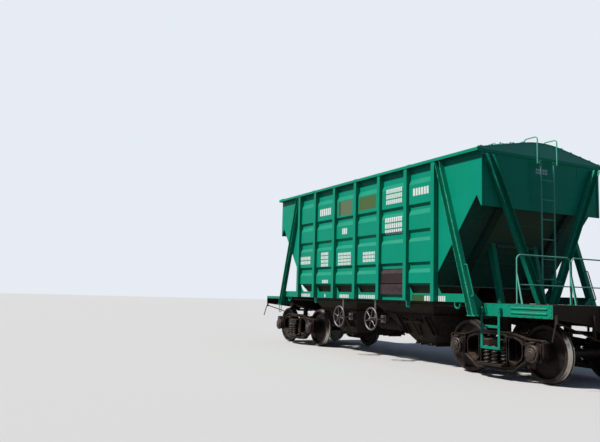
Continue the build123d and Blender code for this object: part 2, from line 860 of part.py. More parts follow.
ladder_thick = 16.0
ladder_x = strut_x + strut_depth + seat + ladder_thick / 2
ladder_half = 163.0
ladder_low = 1650.0
stile_half = 14.0
ladder_top = eave_low - 30.0
rung_pitch = 364.0
rung_low = ladder_low + 80.0
hoop_y = ladder_half + 87.0
hoop_top = crown_top + 90.0
hoop_foot_x = roof_end - 230.0


def end_ladder():
    shape = None
    for side in (-1, 1):
        stile = block(ladder_x - 8, ladder_x + 8, side * (ladder_half - stile_half),
                      side * (ladder_half + stile_half), up(ladder_low), up(ladder_top))
        stile += block(end_x + seat, ladder_x, side * (ladder_half - 20), side * (ladder_half + 20),
                       up(ladder_top) - 40, up(ladder_top) - 28)
        stile += block(ladder_x - 8, ladder_x + 8, side * ladder_half, side * 2 * ladder_half,
                       up(ladder_low) + 40, up(ladder_low) + 52)
        hoop = tube(((ladder_x, side * hoop_y, up(ladder_top) - 70), (ladder_x, side * hoop_y, up(hoop_top)),
                     (hoop_foot_x, side * hoop_y, up(hoop_top)),
                     (hoop_foot_x, side * hoop_y, crown_z(hoop_y - 12) + seat)), 12, 60)
        stile += hoop
        stile += block(ladder_x - 10, ladder_x + 10, side * ladder_half, side * (hoop_y + 8),
                       up(ladder_top) - 70, up(ladder_top) - 50)
        shape = stile if shape is None else shape + stile
    z = rung_low
    while z < ladder_top - 60:
        shape += across(ladder_x, -ladder_half, ladder_half, up(z), 10)
        z += rung_pitch
    return shape


keep("end_ladder", end_ladder())

# Platform railing: two frames of tube with flat stays

rail_x = 4650.0
rail_top = 2100.0
rail_mid = 1600.0
rail_radius = 13.0
rail_inner = 14.0
rail_outer = platform_half - 14.0
stay_top = 1790.0
stay_run = 130.0


def railing():
    frames = []
    for side in (-1, 1):
        near_y, far_y = side * rail_inner, side * rail_outer
        frame = tube(((rail_x, far_y, up(deck_top) + seat), (rail_x, far_y, up(rail_top)),
                      (rail_x, near_y, up(rail_top)), (rail_x, near_y, up(deck_top) + seat)), rail_radius, 90)
        frame += across(rail_x, near_y, far_y, up(rail_mid), rail_radius - 2)
        for y in (near_y, far_y):
            stay = ((rail_x - 8, up(stay_top)), (rail_x + 16, up(stay_top)),
                    (rail_x + stay_run, up(deck_top) + seat), (rail_x + stay_run - 32, up(deck_top) + seat))
            frame += side_plate(stay, y - 5, y + 5)
        frames.append(frame)
    return frames


keep("railing", *railing())

# Automatic couplers

shank_half = 65.0


def coupler():
    z = up(coupler_height)
    head = ((-900, -shank_half), (-330, -shank_half), (-270, -150), (-190, -205), (-60, -215),
            (-20, -190), (0, -115), (-25, -60), (-130, -45), (-185, 20), (-170, 95), (-60, 120),
            (-10, 150), (0, 190), (-60, 215), (-190, 205), (-270, 150), (-330, shank_half),
            (-900, shank_half))
    points = [(coupler_reach + u, v) for u, v in head]
    shape = floor_plate(points, z - 120, z + 120)
    start = coupler_reach - 901
    neck = coupler_reach - 320
    for low, high in ((z + 75, z + 121), (z - 121, z - 75)):
        shape -= block(start, neck, -300, 300, low, high)
    half = sill_web_gap / 2 - seat
    return shape + block(start - 600, start + 60, -half, half, z - 105, z + 115)


keep("coupler_a", coupler())
keep("coupler_b", other_end(coupler()))

# Hand wheels that work the outlet flaps, each on its shaft and gear case

wheel_x = 680.0
wheel_y = wall_y + 50.0
wheel_z = 860.0
wheel_radius = 250.0
wheel_rim = 17.0
gear_y = 1180.0
gear_half = 50.0
spoke_count = 6


def hand_wheel():
    z = up(wheel_z)
    ring = Pos(wheel_x, -wheel_y, z) * Rot(90, 0, 0) * Torus(wheel_radius - wheel_rim, wheel_rim)
    hub = across(wheel_x, -wheel_y - 30, -wheel_y + 30, z, 40)
    wheel = ring + hub
    for number in range(spoke_count):
        angle = radians(360 / spoke_count * number + 15)
        tip = (wheel_x + (wheel_radius - wheel_rim) * cos(angle), -wheel_y,
               z + (wheel_radius - wheel_rim) * sin(angle))
        wheel += rod((wheel_x, -wheel_y, z), tip, 10)
    wheel += across(wheel_x, -wheel_y, -gear_y, z, 20)
    wheel += block(wheel_x - 90, wheel_x + 90, -gear_y - gear_half, -gear_y + gear_half, z - 80, z + 80)
    wheel += block(wheel_x - 35, wheel_x + 35, -wall_y + 55, -wall_y + 67, z - 40, up(side_sill_low) - seat)
    wheel += block(wheel_x - 35, wheel_x + 35, -wall_y + 10, -wall_y + 67, up(side_sill_low) - seat - 12,
                   up(side_sill_low) - seat)
    return wheel


right_gear = hand_wheel()
keep("hand_wheels_right", right_gear, other_end(right_gear))
keep("hand_wheels_left", other_side(right_gear), other_side(other_end(right_gear)))

# Air reservoir and brake cylinder, hung from the centre sill

tank_radius = 150.0
tank_y = 470.0
cylinder_radius = 170.0
cylinder_y = 430.0
cylinder_z = up(1110.0)
cylinder_x = slope_foot_x - 138.0


def air_gear():
    z = up(740)
    y = -tank_y
    tank = along(-430, 430, y, z, tank_radius)
    for end in (-1, 1):
        tank = tank + Pos(end * 430, y, z) * scale(Sphere(tank_radius), (0.35, 1, 1))
    for x in (-280, 280):
        tank += block(x - 25, x + 25, y - 10, y + 10, z + tank_radius - 50, up(sill_low) + 60)
        tank += block(x - 25, x + 25, y - 10, -(web_out + sill_flange) - seat, up(sill_low), up(sill_low) + 12)
    y = -cylinder_y
    z = cylinder_z
    body = along(-cylinder_x - 400, -cylinder_x, y, z, cylinder_radius)
    body += along(-cylinder_x - 440, -cylinder_x - 400, y, z, cylinder_radius + 20)
    body += along(-cylinder_x, -cylinder_x + 120, y, z, 28)
    body += block(-cylinder_x - 250, -cylinder_x - 170, y, -(web_out + seat), z - 20, z + 20)
    return tank, body


reservoir, cylinder = air_gear()
keep("air_reservoir", reservoir)
keep("brake_cylinder", cylinder)

# Bogies, first at the origin: x along the wagon, then moved to each pivot

axle_z = up(tread_radius)
half_base = wheelbase / 2
jaw_half = 168.0
bay_half = 305.0
hanger_x = 345.0
hanger_z = 650.0
frame_end = 1130.0
frame_box_low = 420.0
frame_web = 46.0
frame_flange = 20.0
column_width = 70.0
end_post = 97.0
chord_depth = 67.0
bay_chamfer = 55.0
jaw_top = 628.0


def frame_face(points):
    """Face in length and height from points whose heights are above the rail head."""
    return make_face(Polyline(*[(x, up(z)) for x, z in points], close=True))


def frame_bar(face, thickness):
    """The face carried across the side frame, as thick as said and in its middle."""
    place = Plane((0, -journal_y + thickness / 2, 0), x_dir=(1, 0, 0), z_dir=(0, -1, 0))
    return extrude(place * face, amount=thickness)


def frame_point(along, height):
    """Point by its shares of the frame's half length and of its depth."""
    return frame_end * along, chord_low + (chord_top - chord_low) * height


def frame_window():
    """Corners of the window between the spring bay's column and the axle box."""
    x0 = bay_half + column_width
    x1 = half_base - jaw_half - end_post
    shares = ((0, 0.281), (0.228, 0.197), (0.439, 0.197), (0.93, 0.361), (1, 0.433), (1, 0.687),
              (0.842, 0.776), (0.333, 0.851), (0.088, 0.851), (0, 0.806))
    return [(x0 + (x1 - x0) * u, chord_low + (chord_top - chord_low) * v) for u, v in shares]


def side_frame():
    """Cast truss frame over both axle boxes, right-hand side: a web with a flange round every edge."""
    inner = half_base - jaw_half
    outer = half_base + jaw_half
    top = [frame_point(*share) for share in ((0, 1), (0.354, 1), (0.496, 0.943), (0.62, 0.884), (0.726, 0.86),
                                             (0.938, 0.857), (0.984, 0.836), (1, 0.784))]
    top += [(frame_end, frame_box_low), (outer, frame_box_low), (outer, jaw_top), (inner, jaw_top)]
    top += [frame_point(*share) for share in ((inner / frame_end, 0.306), (0.611, 0.242), (0.531, 0.158),
                                              (0.442, 0.045), (0.372, 0), (0, 0))]
    outline = frame_face(top + [(-x, z) for x, z in reversed(top) if x > 0])
    high = chord_top - chord_depth
    bay = frame_face(((-bay_half, spring_seat), (bay_half, spring_seat), (bay_half, high - bay_chamfer * 0.6),
                      (bay_half - bay_chamfer, high), (bay_chamfer - bay_half, high),
                      (-bay_half, high - bay_chamfer * 0.6)))
    openings = [bay]
    for side in (-1, 1):
        openings.append(frame_face([(side * x, z) for x, z in frame_window()]))
    cut = outline
    for opening in openings:
        cut = cut - opening
    frame = frame_bar(cut, frame_web)
    inset = offset(outline, -frame_flange, kind=Kind.INTERSECTION)
    frame += frame_bar(outline - inset, frame_width)
    for opening in openings:
        rim = offset(opening, frame_flange, kind=Kind.INTERSECTION) & outline
        frame += frame_bar(rim - opening, frame_width)
    for opening in openings:
        frame -= frame_bar(opening, frame_width + 2)
    middle = -journal_y
    seat_half = spring_row + spring_reach
    frame += block(-bay_half - 5, bay_half + 5, middle - seat_half, middle + seat_half,
                   up(spring_seat) - 40, up(spring_seat))
    for side in (-1, 1):
        frame += block(side * hanger_x - 25, side * hanger_x + 25, middle, -(journal_y - 153),
                       up(hanger_z), up(hanger_z) + 40)
    return frame


def axle_box(x):
    y_in = -(journal_y - 85)
    y_out = -(journal_y + 95)
    shape = block(x - jaw_half + seat, x + jaw_half - seat, y_out, y_in, axle_z - 130, up(jaw_top) - seat)
    shape += across(x, y_out - 40, y_out, axle_z, box_cover_radius)
    shape += across(x, y_out - 62, y_out - 40, axle_z, box_cover_radius - 45)
    shape -= across(x, -(journal_y + 125), y_in + 1, axle_z, journal_radius + 1)
    shape -= across(x, y_in - 20, y_in + 1, axle_z, axle_radius + 4)
    return shape


def coil_nest():
    """Seven coils in rows of two, three and two."""
    coils = []
    for row, steps in ((-1, (-0.5, 0.5)), (0, (-1, 0, 1)), (1, (-0.5, 0.5))):
        for step in steps:
            coils.append(upright(step * spring_pitch, -journal_y + row * spring_row,
                                 up(spring_seat) + seat, up(bolster_low) - seat, spring_radius))
    return coils


def wedge(end):
    """Friction wedge between the bolster's side and the frame's column."""
    inner = bolster_width / 2 + seat
    outer = bay_half - seat
    outline = [(end * x, up(z)) for x, z in ((inner, bolster_low), (outer, bolster_low), (outer, 690),
                                             (outer - 45, 690), (inner, 610))]
    return side_plate(outline, -journal_y - 60, -journal_y + 60)


def bogie_bolster():
    out = journal_y + 150
    outline = ((-out, up(bolster_low)), (-out + 360, up(bolster_low)), (-500, up(480)), (500, up(480)),
               (out - 360, up(bolster_low)), (out, up(bolster_low)), (out, up(640)), (700, up(700)),
               (350, up(bolster_top)), (-350, up(bolster_top)), (-700, up(700)), (-out, up(640)))
    half = bolster_width / 2
    beam = cross_plate(outline, -half, half)
    bowl = upright(0, 0, up(bolster_top) - 5, up(bolster_top) + 30, centre_plate_radius + 40)
    bowl -= upright(0, 0, up(bolster_top) + bowl_floor, up(bolster_top) + 31, centre_plate_radius + 3)
    beam = beam + bowl
    for side in (-1, 1):
        beam += block(-70, 70, side * (bearer_y - 60), side * (bearer_y + 60), up(660), up(bolster_top))
    return beam


def brake_rigging():
    """Shoe, hanger and beam for each axle, on the inner side of its wheels."""
    pieces = []
    for end in (-1, 1):
        shoe_y = wheel_back_gap / 2 + 92
        axle_x = end * half_base
        inner_x = axle_x - end * (tread_radius + flange_height + run + 30)
        beam = block(inner_x - 25, inner_x + 25, -shoe_y - 60, shoe_y + 60, axle_z - 60, axle_z - 10)
        for side in (-1, 1):
            pad = block(inner_x - end * 25, inner_x + end * 110, side * (shoe_y - 40), side * (shoe_y + 40),
                        axle_z - 170, axle_z + 130)
            pad -= across(axle_x, side * (shoe_y - 60), side * (shoe_y + 60), axle_z, tread_radius + run)
            hanger = block(end * (hanger_x - 20), inner_x + end * 20, side * (shoe_y + 48),
                           side * (shoe_y + 60), axle_z - 60, up(hanger_z) - seat)
            beam = beam + pad + hanger
        pieces.append(beam)
    return pieces


def wheel_profile():
    """Half section of one wheel: radius and distance along the axle, from its back face out."""
    r = tread_radius
    back = wheel_back_gap / 2
    return ((axle_radius - 1, back + 10), (hub_radius, back + 10), (hub_radius + 15, back + 60),
            (r - rim_thickness - 30, back + 35), (r - rim_thickness, back + 2), (r + 8, back),
            (r + flange_height, back + 12), (r + flange_height, back + 20), (r + 8, back + 33),
            (r, back + 48), (r - 6, back + rim_width - 8), (r - 14, back + rim_width),
            (r - rim_thickness, back + rim_width), (r - rim_thickness - 30, back + 70),
            (hub_radius + 20, back + 105), (hub_radius, back + 175), (axle_radius - 1, back + 175))


def wheelset(x):
    end = journal_y + 112
    inner = wheel_back_gap / 2
    axle = ((0, -end), (journal_radius, -end), (journal_radius, -(journal_y - 90)), (axle_radius, -(journal_y - 110)),
            (axle_radius + 8, -inner - 150), (axle_radius + 8, -inner), (axle_radius - 8, -inner + 40),
            (axle_radius - 8, inner - 40), (axle_radius + 8, inner), (axle_radius + 8, inner + 150),
            (axle_radius, journal_y - 110), (journal_radius, journal_y - 90), (journal_radius, end), (0, end))
    shape = revolve(make_face(Polyline(*axle, close=True)), axis=Axis.Y)
    wheel = revolve(make_face(Polyline(*wheel_profile(), close=True)), axis=Axis.Y)
    shape = shape + wheel + other_side(wheel)
    return Pos(x, 0, axle_z) * shape


frame_right = [side_frame(), axle_box(-half_base), axle_box(half_base)] + coil_nest()
frame_right += [wedge(-1), wedge(1)]
wheel_number = 1
for end, place in (("a", pivot_x), ("b", -pivot_x)):
    move = Pos(place, 0, 0)
    keep("bogie_" + end + "_frame_right", *[move * s for s in frame_right])
    keep("bogie_" + end + "_frame_left", *[move * other_side(s) for s in frame_right])
    keep("bogie_" + end + "_bolster", *[move * s for s in [bogie_bolster()] + brake_rigging()])
    for axle_place in (half_base, -half_base):
        keep("wheelset_" + str(wheel_number), wheelset(place + axle_place))
        wheel_number += 1

os.makedirs("parts", exist_ok=True)
for name, solids in nodes.items():
    whole = solids[0] if len(solids) == 1 else Compound(solids)
    export_step(whole, "parts/" + name + ".step")
print(len(nodes), "nodes written")
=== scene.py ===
# %% [markdown]
# # Dressing a covered hopper wagon
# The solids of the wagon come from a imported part: sheets, posts, bogies, wheels, hatches. This lesson adds
# what paint, dust, springs, bolts and welds do for them. Everything is in metres, in the part's own frame:
# +X runs to the platform end "a", -Y is the right-hand side, and the floor is where the wheel flanges stand.
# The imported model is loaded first, because every piece made below rides on one of its bodies.

# %% Load the frame
import math

import bmesh
import bpy
import numpy as np
from mathutils import Matrix, Vector


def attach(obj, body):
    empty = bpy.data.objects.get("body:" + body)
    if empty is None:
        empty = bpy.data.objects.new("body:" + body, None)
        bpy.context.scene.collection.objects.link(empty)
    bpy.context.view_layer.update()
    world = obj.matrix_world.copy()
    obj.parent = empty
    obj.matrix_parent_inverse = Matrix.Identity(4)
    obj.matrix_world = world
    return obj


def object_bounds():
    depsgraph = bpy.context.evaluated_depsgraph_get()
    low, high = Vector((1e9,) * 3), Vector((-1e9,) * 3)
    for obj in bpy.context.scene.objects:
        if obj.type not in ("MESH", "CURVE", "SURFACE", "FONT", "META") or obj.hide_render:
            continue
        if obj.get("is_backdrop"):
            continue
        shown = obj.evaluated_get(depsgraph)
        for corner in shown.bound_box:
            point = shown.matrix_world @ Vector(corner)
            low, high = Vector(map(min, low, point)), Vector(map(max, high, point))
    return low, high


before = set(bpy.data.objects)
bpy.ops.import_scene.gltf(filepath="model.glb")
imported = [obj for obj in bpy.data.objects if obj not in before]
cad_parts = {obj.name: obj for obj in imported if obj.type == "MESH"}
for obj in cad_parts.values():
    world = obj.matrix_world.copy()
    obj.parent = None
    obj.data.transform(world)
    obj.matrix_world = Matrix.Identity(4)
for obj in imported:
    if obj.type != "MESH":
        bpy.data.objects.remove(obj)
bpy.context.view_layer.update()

# %% [markdown]
# ## Sizes that the pieces share
# Heights on a wagon are measured from the line that its wheels roll on, and their flanges reach a little
# lower, so one helper turns a height above that line into a height above the floor. Naming the sizes once
# keeps each spring, bolt and weld on the sheet that carries it.

# %% Shared sizes
FLANGE = 0.028
WALL_Y, PANEL_Y = 1.500, 1.550
POSTS, POST_HALF = (-2.82, -1.94, -0.965, 0.0, 0.965, 1.94, 2.82), 0.050
PIVOT = 3.9
ENDS = (("a", PIVOT), ("b", -PIVOT))
JOURNAL_Y = 1.018
AXLE_X, AXLE_Z = 0.925, 0.475 + FLANGE
ALONG, ACROSS, OUT, UP = (1, 0, 0), (0, 1, 0), (0, -1, 0), (0, 0, 1)


def up(height):
    """Height above the rolling line, or several, plus the flange: height above the floor."""
    return np.add(height, FLANGE)


print("posts per side", len(POSTS))

# %% [markdown]
# ## Surfaces from numbers
# Every new piece below is a surface of two parameters, worked out for a whole grid at once: a profile carried
# along a path, or turned about an axis. A small set of helpers does that. The grid becomes quads, a row that
# shrinks to one point closes an end, and doubles are merged so that each shell is closed.

# %% Grids, caps and copies
def grid_quads(rows, columns, wrap_rows=False, wrap_columns=True):
    """Quads between neighbours of a rows by columns grid, wrapping round where asked."""
    r = np.arange(rows if wrap_rows else rows - 1)
    c = np.arange(columns if wrap_columns else columns - 1)
    r, c = np.meshgrid(r, c, indexing="ij")
    r2, c2 = (r + 1) % rows, (c + 1) % columns
    return np.stack([r * columns + c, r * columns + c2, r2 * columns + c2, r2 * columns + c], -1).reshape(-1, 4)


def shell(grid, wrap_rows=False):
    """A grid of points (rows, columns, 3) as a closed tube: unless the rows wrap, each end row is followed by
    its own middle, so that the end is closed."""
    if not wrap_rows:
        first, last = (np.broadcast_to(row.mean(0), (1,) + row.shape) for row in (grid[0], grid[-1]))
        grid = np.concatenate([first, grid, last])
    return grid.reshape(-1, 3), grid_quads(grid.shape[0], grid.shape[1], wrap_rows)


def joined(shells):
    """Several shells as one: their points one after another, their quads shifted by as many."""
    starts = np.cumsum([0] + [len(p) for p, _ in shells[:-1]])
    return np.concatenate([p for p, _ in shells]), np.concatenate([q + s for (_, q), s in zip(shells, starts)])


def copies(one, spots, turns=np.eye(3)):
    """The same shell at each spot: every point, turned by that spot's rows, plus every offset, as one array."""
    points, quads = one
    spots = np.asarray(spots, float).reshape(-1, 1, 3)
    steps = np.arange(len(spots))[:, None, None] * len(points)
    return (points @ turns + spots).reshape(-1, 3), (quads + steps).reshape(-1, 4)


def flipped(one, axis):
    """The shell mirrored through the plane where that axis is nought."""
    sign = np.ones(3)
    sign[axis] = -1
    return one[0] * sign, one[1]


def both(one, axis):
    """The shell and its mirror image."""
    return joined([one, flipped(one, axis)])


def at_four(one):
    """The shell at both ends and on both sides."""
    return both(both(one, 0), 1)


def places(x, y, z):
    """Rows of x, y and z, each a number or an array of the same length."""
    return np.stack(np.broadcast_arrays(x, y, z), -1)


def every(x, y, z):
    """Rows for every pairing of the given x, y and z."""
    return np.stack(np.meshgrid(x, y, z), -1).reshape(-1, 3)


print("grid of 3 by 4 has", len(grid_quads(3, 4)), "quads")

# %% [markdown]
# A piece becomes an object in one place: the arrays go into a mesh, doubles are merged, normals are turned
# outwards, and the object is tied to the CAD body that it moves with and given its material.

# %% Make an object of a shell
scene = bpy.context.scene
made = {}


def new_object(name, data):
    """An object of the data, linked to the scene."""
    thing = bpy.data.objects.new(name, data)
    scene.collection.objects.link(thing)
    return thing


def new_mesh(name, one, material):
    """A mesh of points and quads with one material."""
    mesh = bpy.data.meshes.new(name)
    mesh.from_pydata(one[0].tolist(), [], one[1].tolist())
    mesh.materials.append(material)
    return mesh


def make_piece(name, one, material, body="wagon_body", smooth=35.0):
    """Piece of a shell, doubles within a hundredth of a millimetre merged, faces turned outwards, edges
    flatter than the smooth angle shaded round."""
    mesh = new_mesh(name, one, material)
    work = bmesh.new()
    work.from_mesh(mesh)
    bmesh.ops.remove_doubles(work, verts=work.verts, dist=1e-5)
    bmesh.ops.dissolve_degenerate(work, edges=work.edges, dist=1e-6)
    bmesh.ops.recalc_face_normals(work, faces=work.faces)
    work.to_mesh(mesh)
    work.free()
    mesh.polygons.foreach_set("use_smooth", np.ones(len(mesh.polygons), bool))
    mesh.set_sharp_from_angle(angle=math.radians(smooth))
    piece = new_object(name, mesh)
    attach(piece, body)
    made[name] = len(mesh.polygons)


print("pieces made so far:", len(made))

# %% [markdown]
# Profiles and paths: a circle or an eased rectangle is carried along a line. The frame at each station comes
# from two cross products with one reference direction, which holds for any path that never runs along it.

# %% Profiles carried along paths
def unit(vectors):
    """Vectors divided by their lengths."""
    return vectors / np.linalg.norm(vectors, axis=-1, keepdims=True)


def circle(radius, sides, start=0.0):
    """Points at equal angles on a circle, the first one turned by a share of the step between two."""
    a = (np.arange(sides) + start) * 2 * np.pi / sides
    return radius * np.stack([np.cos(a), np.sin(a)], -1)


def eased_rectangle(width, height, ease, steps=2):
    """Rectangle whose corners are quarter circles: corner centre plus ease times the direction."""
    quarter = np.arange(4)[:, None] * np.pi / 2
    a = quarter + np.linspace(0, np.pi / 2, steps + 1)
    corner = np.array([(1, 1), (-1, 1), (-1, -1), (1, -1)])[:, None] * (width / 2 - ease, height / 2 - ease)
    return (corner + ease * np.stack([np.cos(a), np.sin(a)], -1)).reshape(-1, 2)


def carry(profile, path, reference, wrap=False, swell=1.0):
    """Profile (k, 2) at every station of a path (n, 3): station + swell * (u * side + v * top), where side is
    tangent x reference and top is side x tangent."""
    path = np.asarray(path, float)
    tangent = unit(np.roll(path, -1, 0) - np.roll(path, 1, 0) if wrap else np.gradient(path, axis=0))
    side = unit(np.cross(tangent, reference))
    top = np.cross(side, tangent)
    ring = profile[:, :1] * side[:, None] + profile[:, 1:] * top[:, None]
    return shell(path[:, None] + swell * ring, wrap)


def turned(profile, centre, axis, columns):
    """Profile of (radius, distance) turned about an axis through centre: centre + distance * axis
    + radius * (cos a * e1 + sin a * e2)."""
    profile, axis = np.asarray(profile, float)[:, None], np.asarray(axis, float)
    e1 = np.roll(axis, 1)
    ring = circle(1.0, columns) @ (e1, np.cross(axis, e1))
    return shell(np.asarray(centre, float) + profile[..., 1:] * axis + profile[..., :1] * ring)


def drum(inner, outer, start, end, centre, axis, sides, ease=0.002):
    """Short cylinder from start to end along an axis, each edge eased from the outer to the inner radius."""
    return turned([(inner, start), (outer, start + ease), (outer, end - ease), (inner, end)], centre, axis, sides)


def eased_block(low, high, ease):
    """Box from low to high with rounded upright edges, its first and last rows drawn in by the ease."""
    low, high = np.asarray(low, float), np.asarray(high, float)
    (wide, deep, _), middle = high - low, (low + high) / 2
    full = eased_rectangle(wide, deep, ease * 1.5)
    thin = eased_rectangle(wide - 2 * ease, deep - 2 * ease, ease)
    z = np.array([low[2], low[2] + ease, high[2] - ease, high[2]])
    x, y = np.moveaxis(np.stack([thin, full, full, thin]) + middle[:2], -1, 0)
    return shell(places(x, y, z[:, None]))


def soft_path(corners, radius, steps=5):
    """Straight runs joined by quadratic curves: (1-t)^2 before + 2t(1-t) corner + t^2 after."""
    corners = np.asarray(corners, float)
    t = np.linspace(0, 1, steps)[:, None]
    rows = [corners[:1]]
    for before, corner, after in zip(corners, corners[1:], corners[2:]):
        start, end = corner + unit(before - corner) * radius, corner + unit(after - corner) * radius
        rows.append((1 - t) ** 2 * start + 2 * t * (1 - t) * corner + t ** 2 * end)
    return np.concatenate(rows + [corners[-1:]])


BOLT = np.array([[0.0095, -0.002], [0.0110, 0.0], [0.0110, 0.0065], [0.0095, 0.0085]])


def bolts(spots, axis, scale=1.0):
    """Six-sided bolt heads with eased edges, one at each spot, turned about the same direction."""
    return copies(turned(BOLT * scale, (0, 0, 0), axis, 6), spots)


print("a bolt head has", len(bolts((0, 0, 0), UP)[1]), "quads")

# %% [markdown]
# ## Building materials from nodes
# A material is a small program: coordinates go in, a colour, a roughness and a height come out. The same
# effects return on many surfaces of a wagon, such as faded paint, dust that settles on level faces and wear
# on edges, so each is built once as a node group and placed in every material with its own values. The short
# helpers here place one node each, in the tree that their inputs belong to.

# %% Node helpers
def node(kind, inputs=None, tree=None, **settings):
    """One node with its settings, and each input set to a value or linked to another node's output."""
    inputs = inputs or {}
    linked = {key: value for key, value in inputs.items() if isinstance(value, bpy.types.NodeSocket)}
    tree = tree or next(iter(linked.values())).id_data
    new = tree.nodes.new("ShaderNode" + kind)
    for key, value in settings.items():
        setattr(new, key, value)
    for key, value in inputs.items():
        if key in linked:
            tree.links.new(value, new.inputs[key])
        else:
            new.inputs[key].default_value = value
    return new


def calc(operation, a, b=0.0, clamp=False):
    """The output of one Math node."""
    return node("Math", {0: a, 1: b}, operation=operation, use_clamp=clamp).outputs[0]


def plus(a, b, clamp=False):
    """a + b."""
    return calc("ADD", a, b, clamp)


def times(a, b, clamp=False):
    """a * b."""
    return calc("MULTIPLY", a, b, clamp)


def vector(operation, a, b):
    """The output of one Vector Math node."""
    return node("VectorMath", {0: a, 1: b}, operation=operation).outputs[0]


def axes(place):
    """The x, y and z of a place."""
    return node("SeparateXYZ", {0: place}).outputs


def blend(factor, a, b):
    """Colour a turned into colour b by factor."""
    return node("Mix", {0: factor, 6: a, 7: b}, data_type="RGBA").outputs[2]


def layered(colour, *layers):
    """The colour under layers, each a mask and the colour that it brings."""
    for mask, over in layers:
        colour = blend(mask, colour, over)
    return colour


def ramp(value, low, high, to_low=0.0, to_high=1.0):
    """Value between low and high, mapped smoothly and clamped."""
    return node("MapRange", {0: value, 1: low, 2: high, 3: to_low, 4: to_high},
                interpolation_type="SMOOTHSTEP").outputs[0]


def beyond(value, edge, blur):
    """Nought below an edge and one above it, over the blur to both sides; a negative blur turns it round."""
    return ramp(value, edge - blur, edge + blur)


def noise(place, scale, detail=3.0, rough=0.55):
    """Noise about a half, with as many waves in a metre as the scale says."""
    return node("TexNoise", {"Vector": place, "Scale": scale, "Detail": detail, "Roughness": rough}).outputs["Fac"]


def coordinate(tree, kind="Object"):
    """Object coordinates, or the object's own normal."""
    return node("TexCoord", tree=tree).outputs[kind]


def new_group(name, gives, **takes):
    """Empty node group: its tree, the outputs that carry what goes in, and the inputs that take what comes out.
    A default value's length tells the kind of its socket."""
    tree = bpy.data.node_groups.new(name, "ShaderNodeTree")
    kinds = {1: "NodeSocketFloat", 3: "NodeSocketVector", 4: "NodeSocketColor"}
    for label, value in takes.items():
        label = label.replace("_", " ")
        socket = tree.interface.new_socket(label, in_out="INPUT", socket_type=kinds[np.size(value)])
        socket.default_value = value
    for label in gives:
        tree.interface.new_socket(label, in_out="OUTPUT", socket_type=kinds[4 if label == "Color" else 1])
    return tree, tree.nodes.new("NodeGroupInput").outputs, tree.nodes.new("NodeGroupOutput").inputs


def placed(tree, name, **values):
    """The named group's outputs in a tree; an underscore in a keyword stands for a space in the socket's name."""
    inputs = {key.replace("_", " "): value for key, value in values.items()}
    return node("Group", inputs, tree, node_tree=bpy.data.node_groups[name]).outputs


def srgb(red, green, blue):
    """A colour picked on screen, 0 to 255, as the linear numbers that a shader wants."""
    c = np.array([red, green, blue]) / 255.0
    c = np.where(c <= 0.04045, c / 12.92, ((c + 0.055) / 1.055) ** 2.4)
    return tuple(c.tolist()) + (1.0,)


print("sunlit wagon green, linear:", [round(v, 3) for v in srgb(8, 146, 116)[:3]])

# %% [markdown]
# ## The camera
# The photograph was taken from the wagon's right, about seven metres past its near end and at chest height. A
# camera can be placed by eye, or solved: known points of the wagon, such as wheel centres and roof corners,
# were matched to where they appear, which gives a place, a direction and a lens. The solved numbers are used
# here, because then every edge falls where the photograph has it.

# %% Camera
YAW, PITCH, ROLL = 1.10207, 0.11301, 0.02772
FOCAL_PIXELS, IMAGE_WIDTH = 655.24, 600
EYE = (12.758, -9.454, 1.3215 + FLANGE)

lens = bpy.data.cameras.new("photo_camera")
lens.sensor_width, lens.clip_end = 36.0, 500.0
lens.lens = FOCAL_PIXELS * lens.sensor_width / IMAGE_WIDTH
scene.camera = new_object("photo_camera", lens)
scene.camera.matrix_world = (Matrix.Translation(EYE) @ Matrix.Rotation(YAW, 4, "Z")
                             @ Matrix.Rotation(math.pi / 2 + PITCH, 4, "X") @ Matrix.Rotation(ROLL, 4, "Z"))
scene.view_settings.view_transform = "Standard"
print("lens", round(lens.lens, 2), "mm at", [round(v, 2) for v in EYE])

# %% [markdown]
# ## Light
# Light comes from a little to the left of the wagon's long side and from about halfway up: the side is bright,
# the end wall is in shade, and the eave throws a dark band on the wall below it. One sun lamp with a soft disc
# gives these shadows, and a pale world fills the shade. The lamp's strength is chosen so that a wall it meets
# at its usual slant shows about the colour that is written in the material.

# %% Sun and world
SUN_FROM = Vector((-0.16, -0.74, 0.88)).normalized()
SUN_STRENGTH, SUN_DISC, SUN_COLOUR = 3.8, math.radians(4.0), (1.0, 0.975, 0.94)
SKY_FILL, FILL_COLOUR, SEEN_COLOUR = 0.17, (0.44, 0.62, 1.0, 1), (0.80, 0.84, 0.90, 1)

sun_light = bpy.data.lights.new("soft_sun", "SUN")
sun_light.energy, sun_light.angle, sun_light.color = SUN_STRENGTH, SUN_DISC, SUN_COLOUR
new_object("soft_sun", sun_light).matrix_world = SUN_FROM.to_track_quat("Z", "Y").to_matrix().to_4x4()


def shown_rays(tree):
    """One where the camera, a reflection or a glass path looks, nought for light that bounces."""
    path = node("LightPath", tree=tree).outputs
    return calc("MAXIMUM", calc("MAXIMUM", path["Is Camera Ray"], path["Is Glossy Ray"]),
                path["Is Transmission Ray"])


scene.world = bpy.data.worlds.new("pale_studio")
scene.world.use_nodes = True
sky = scene.world.node_tree
sky.nodes.clear()
fill = node("Background", {"Color": FILL_COLOUR, "Strength": SKY_FILL}, sky).outputs[0]
seen = node("Background", {"Color": SEEN_COLOUR, "Strength": 1.0}, sky).outputs[0]
node("OutputWorld", {"Surface": node("MixShader", {0: shown_rays(sky), 1: fill, 2: seen}).outputs[0]})
print("sun from", [round(v, 2) for v in SUN_FROM], "strength", SUN_STRENGTH)

# %% [markdown]
# ## Effects that the finishes share
# Paint on a wagon isn't one colour: it fades in broad clouds, and rain draws it down in faint vertical
# streaks. Two noises do this, one even and one drawn out along the height. The group mixes a fresh and a
# faded colour by them.

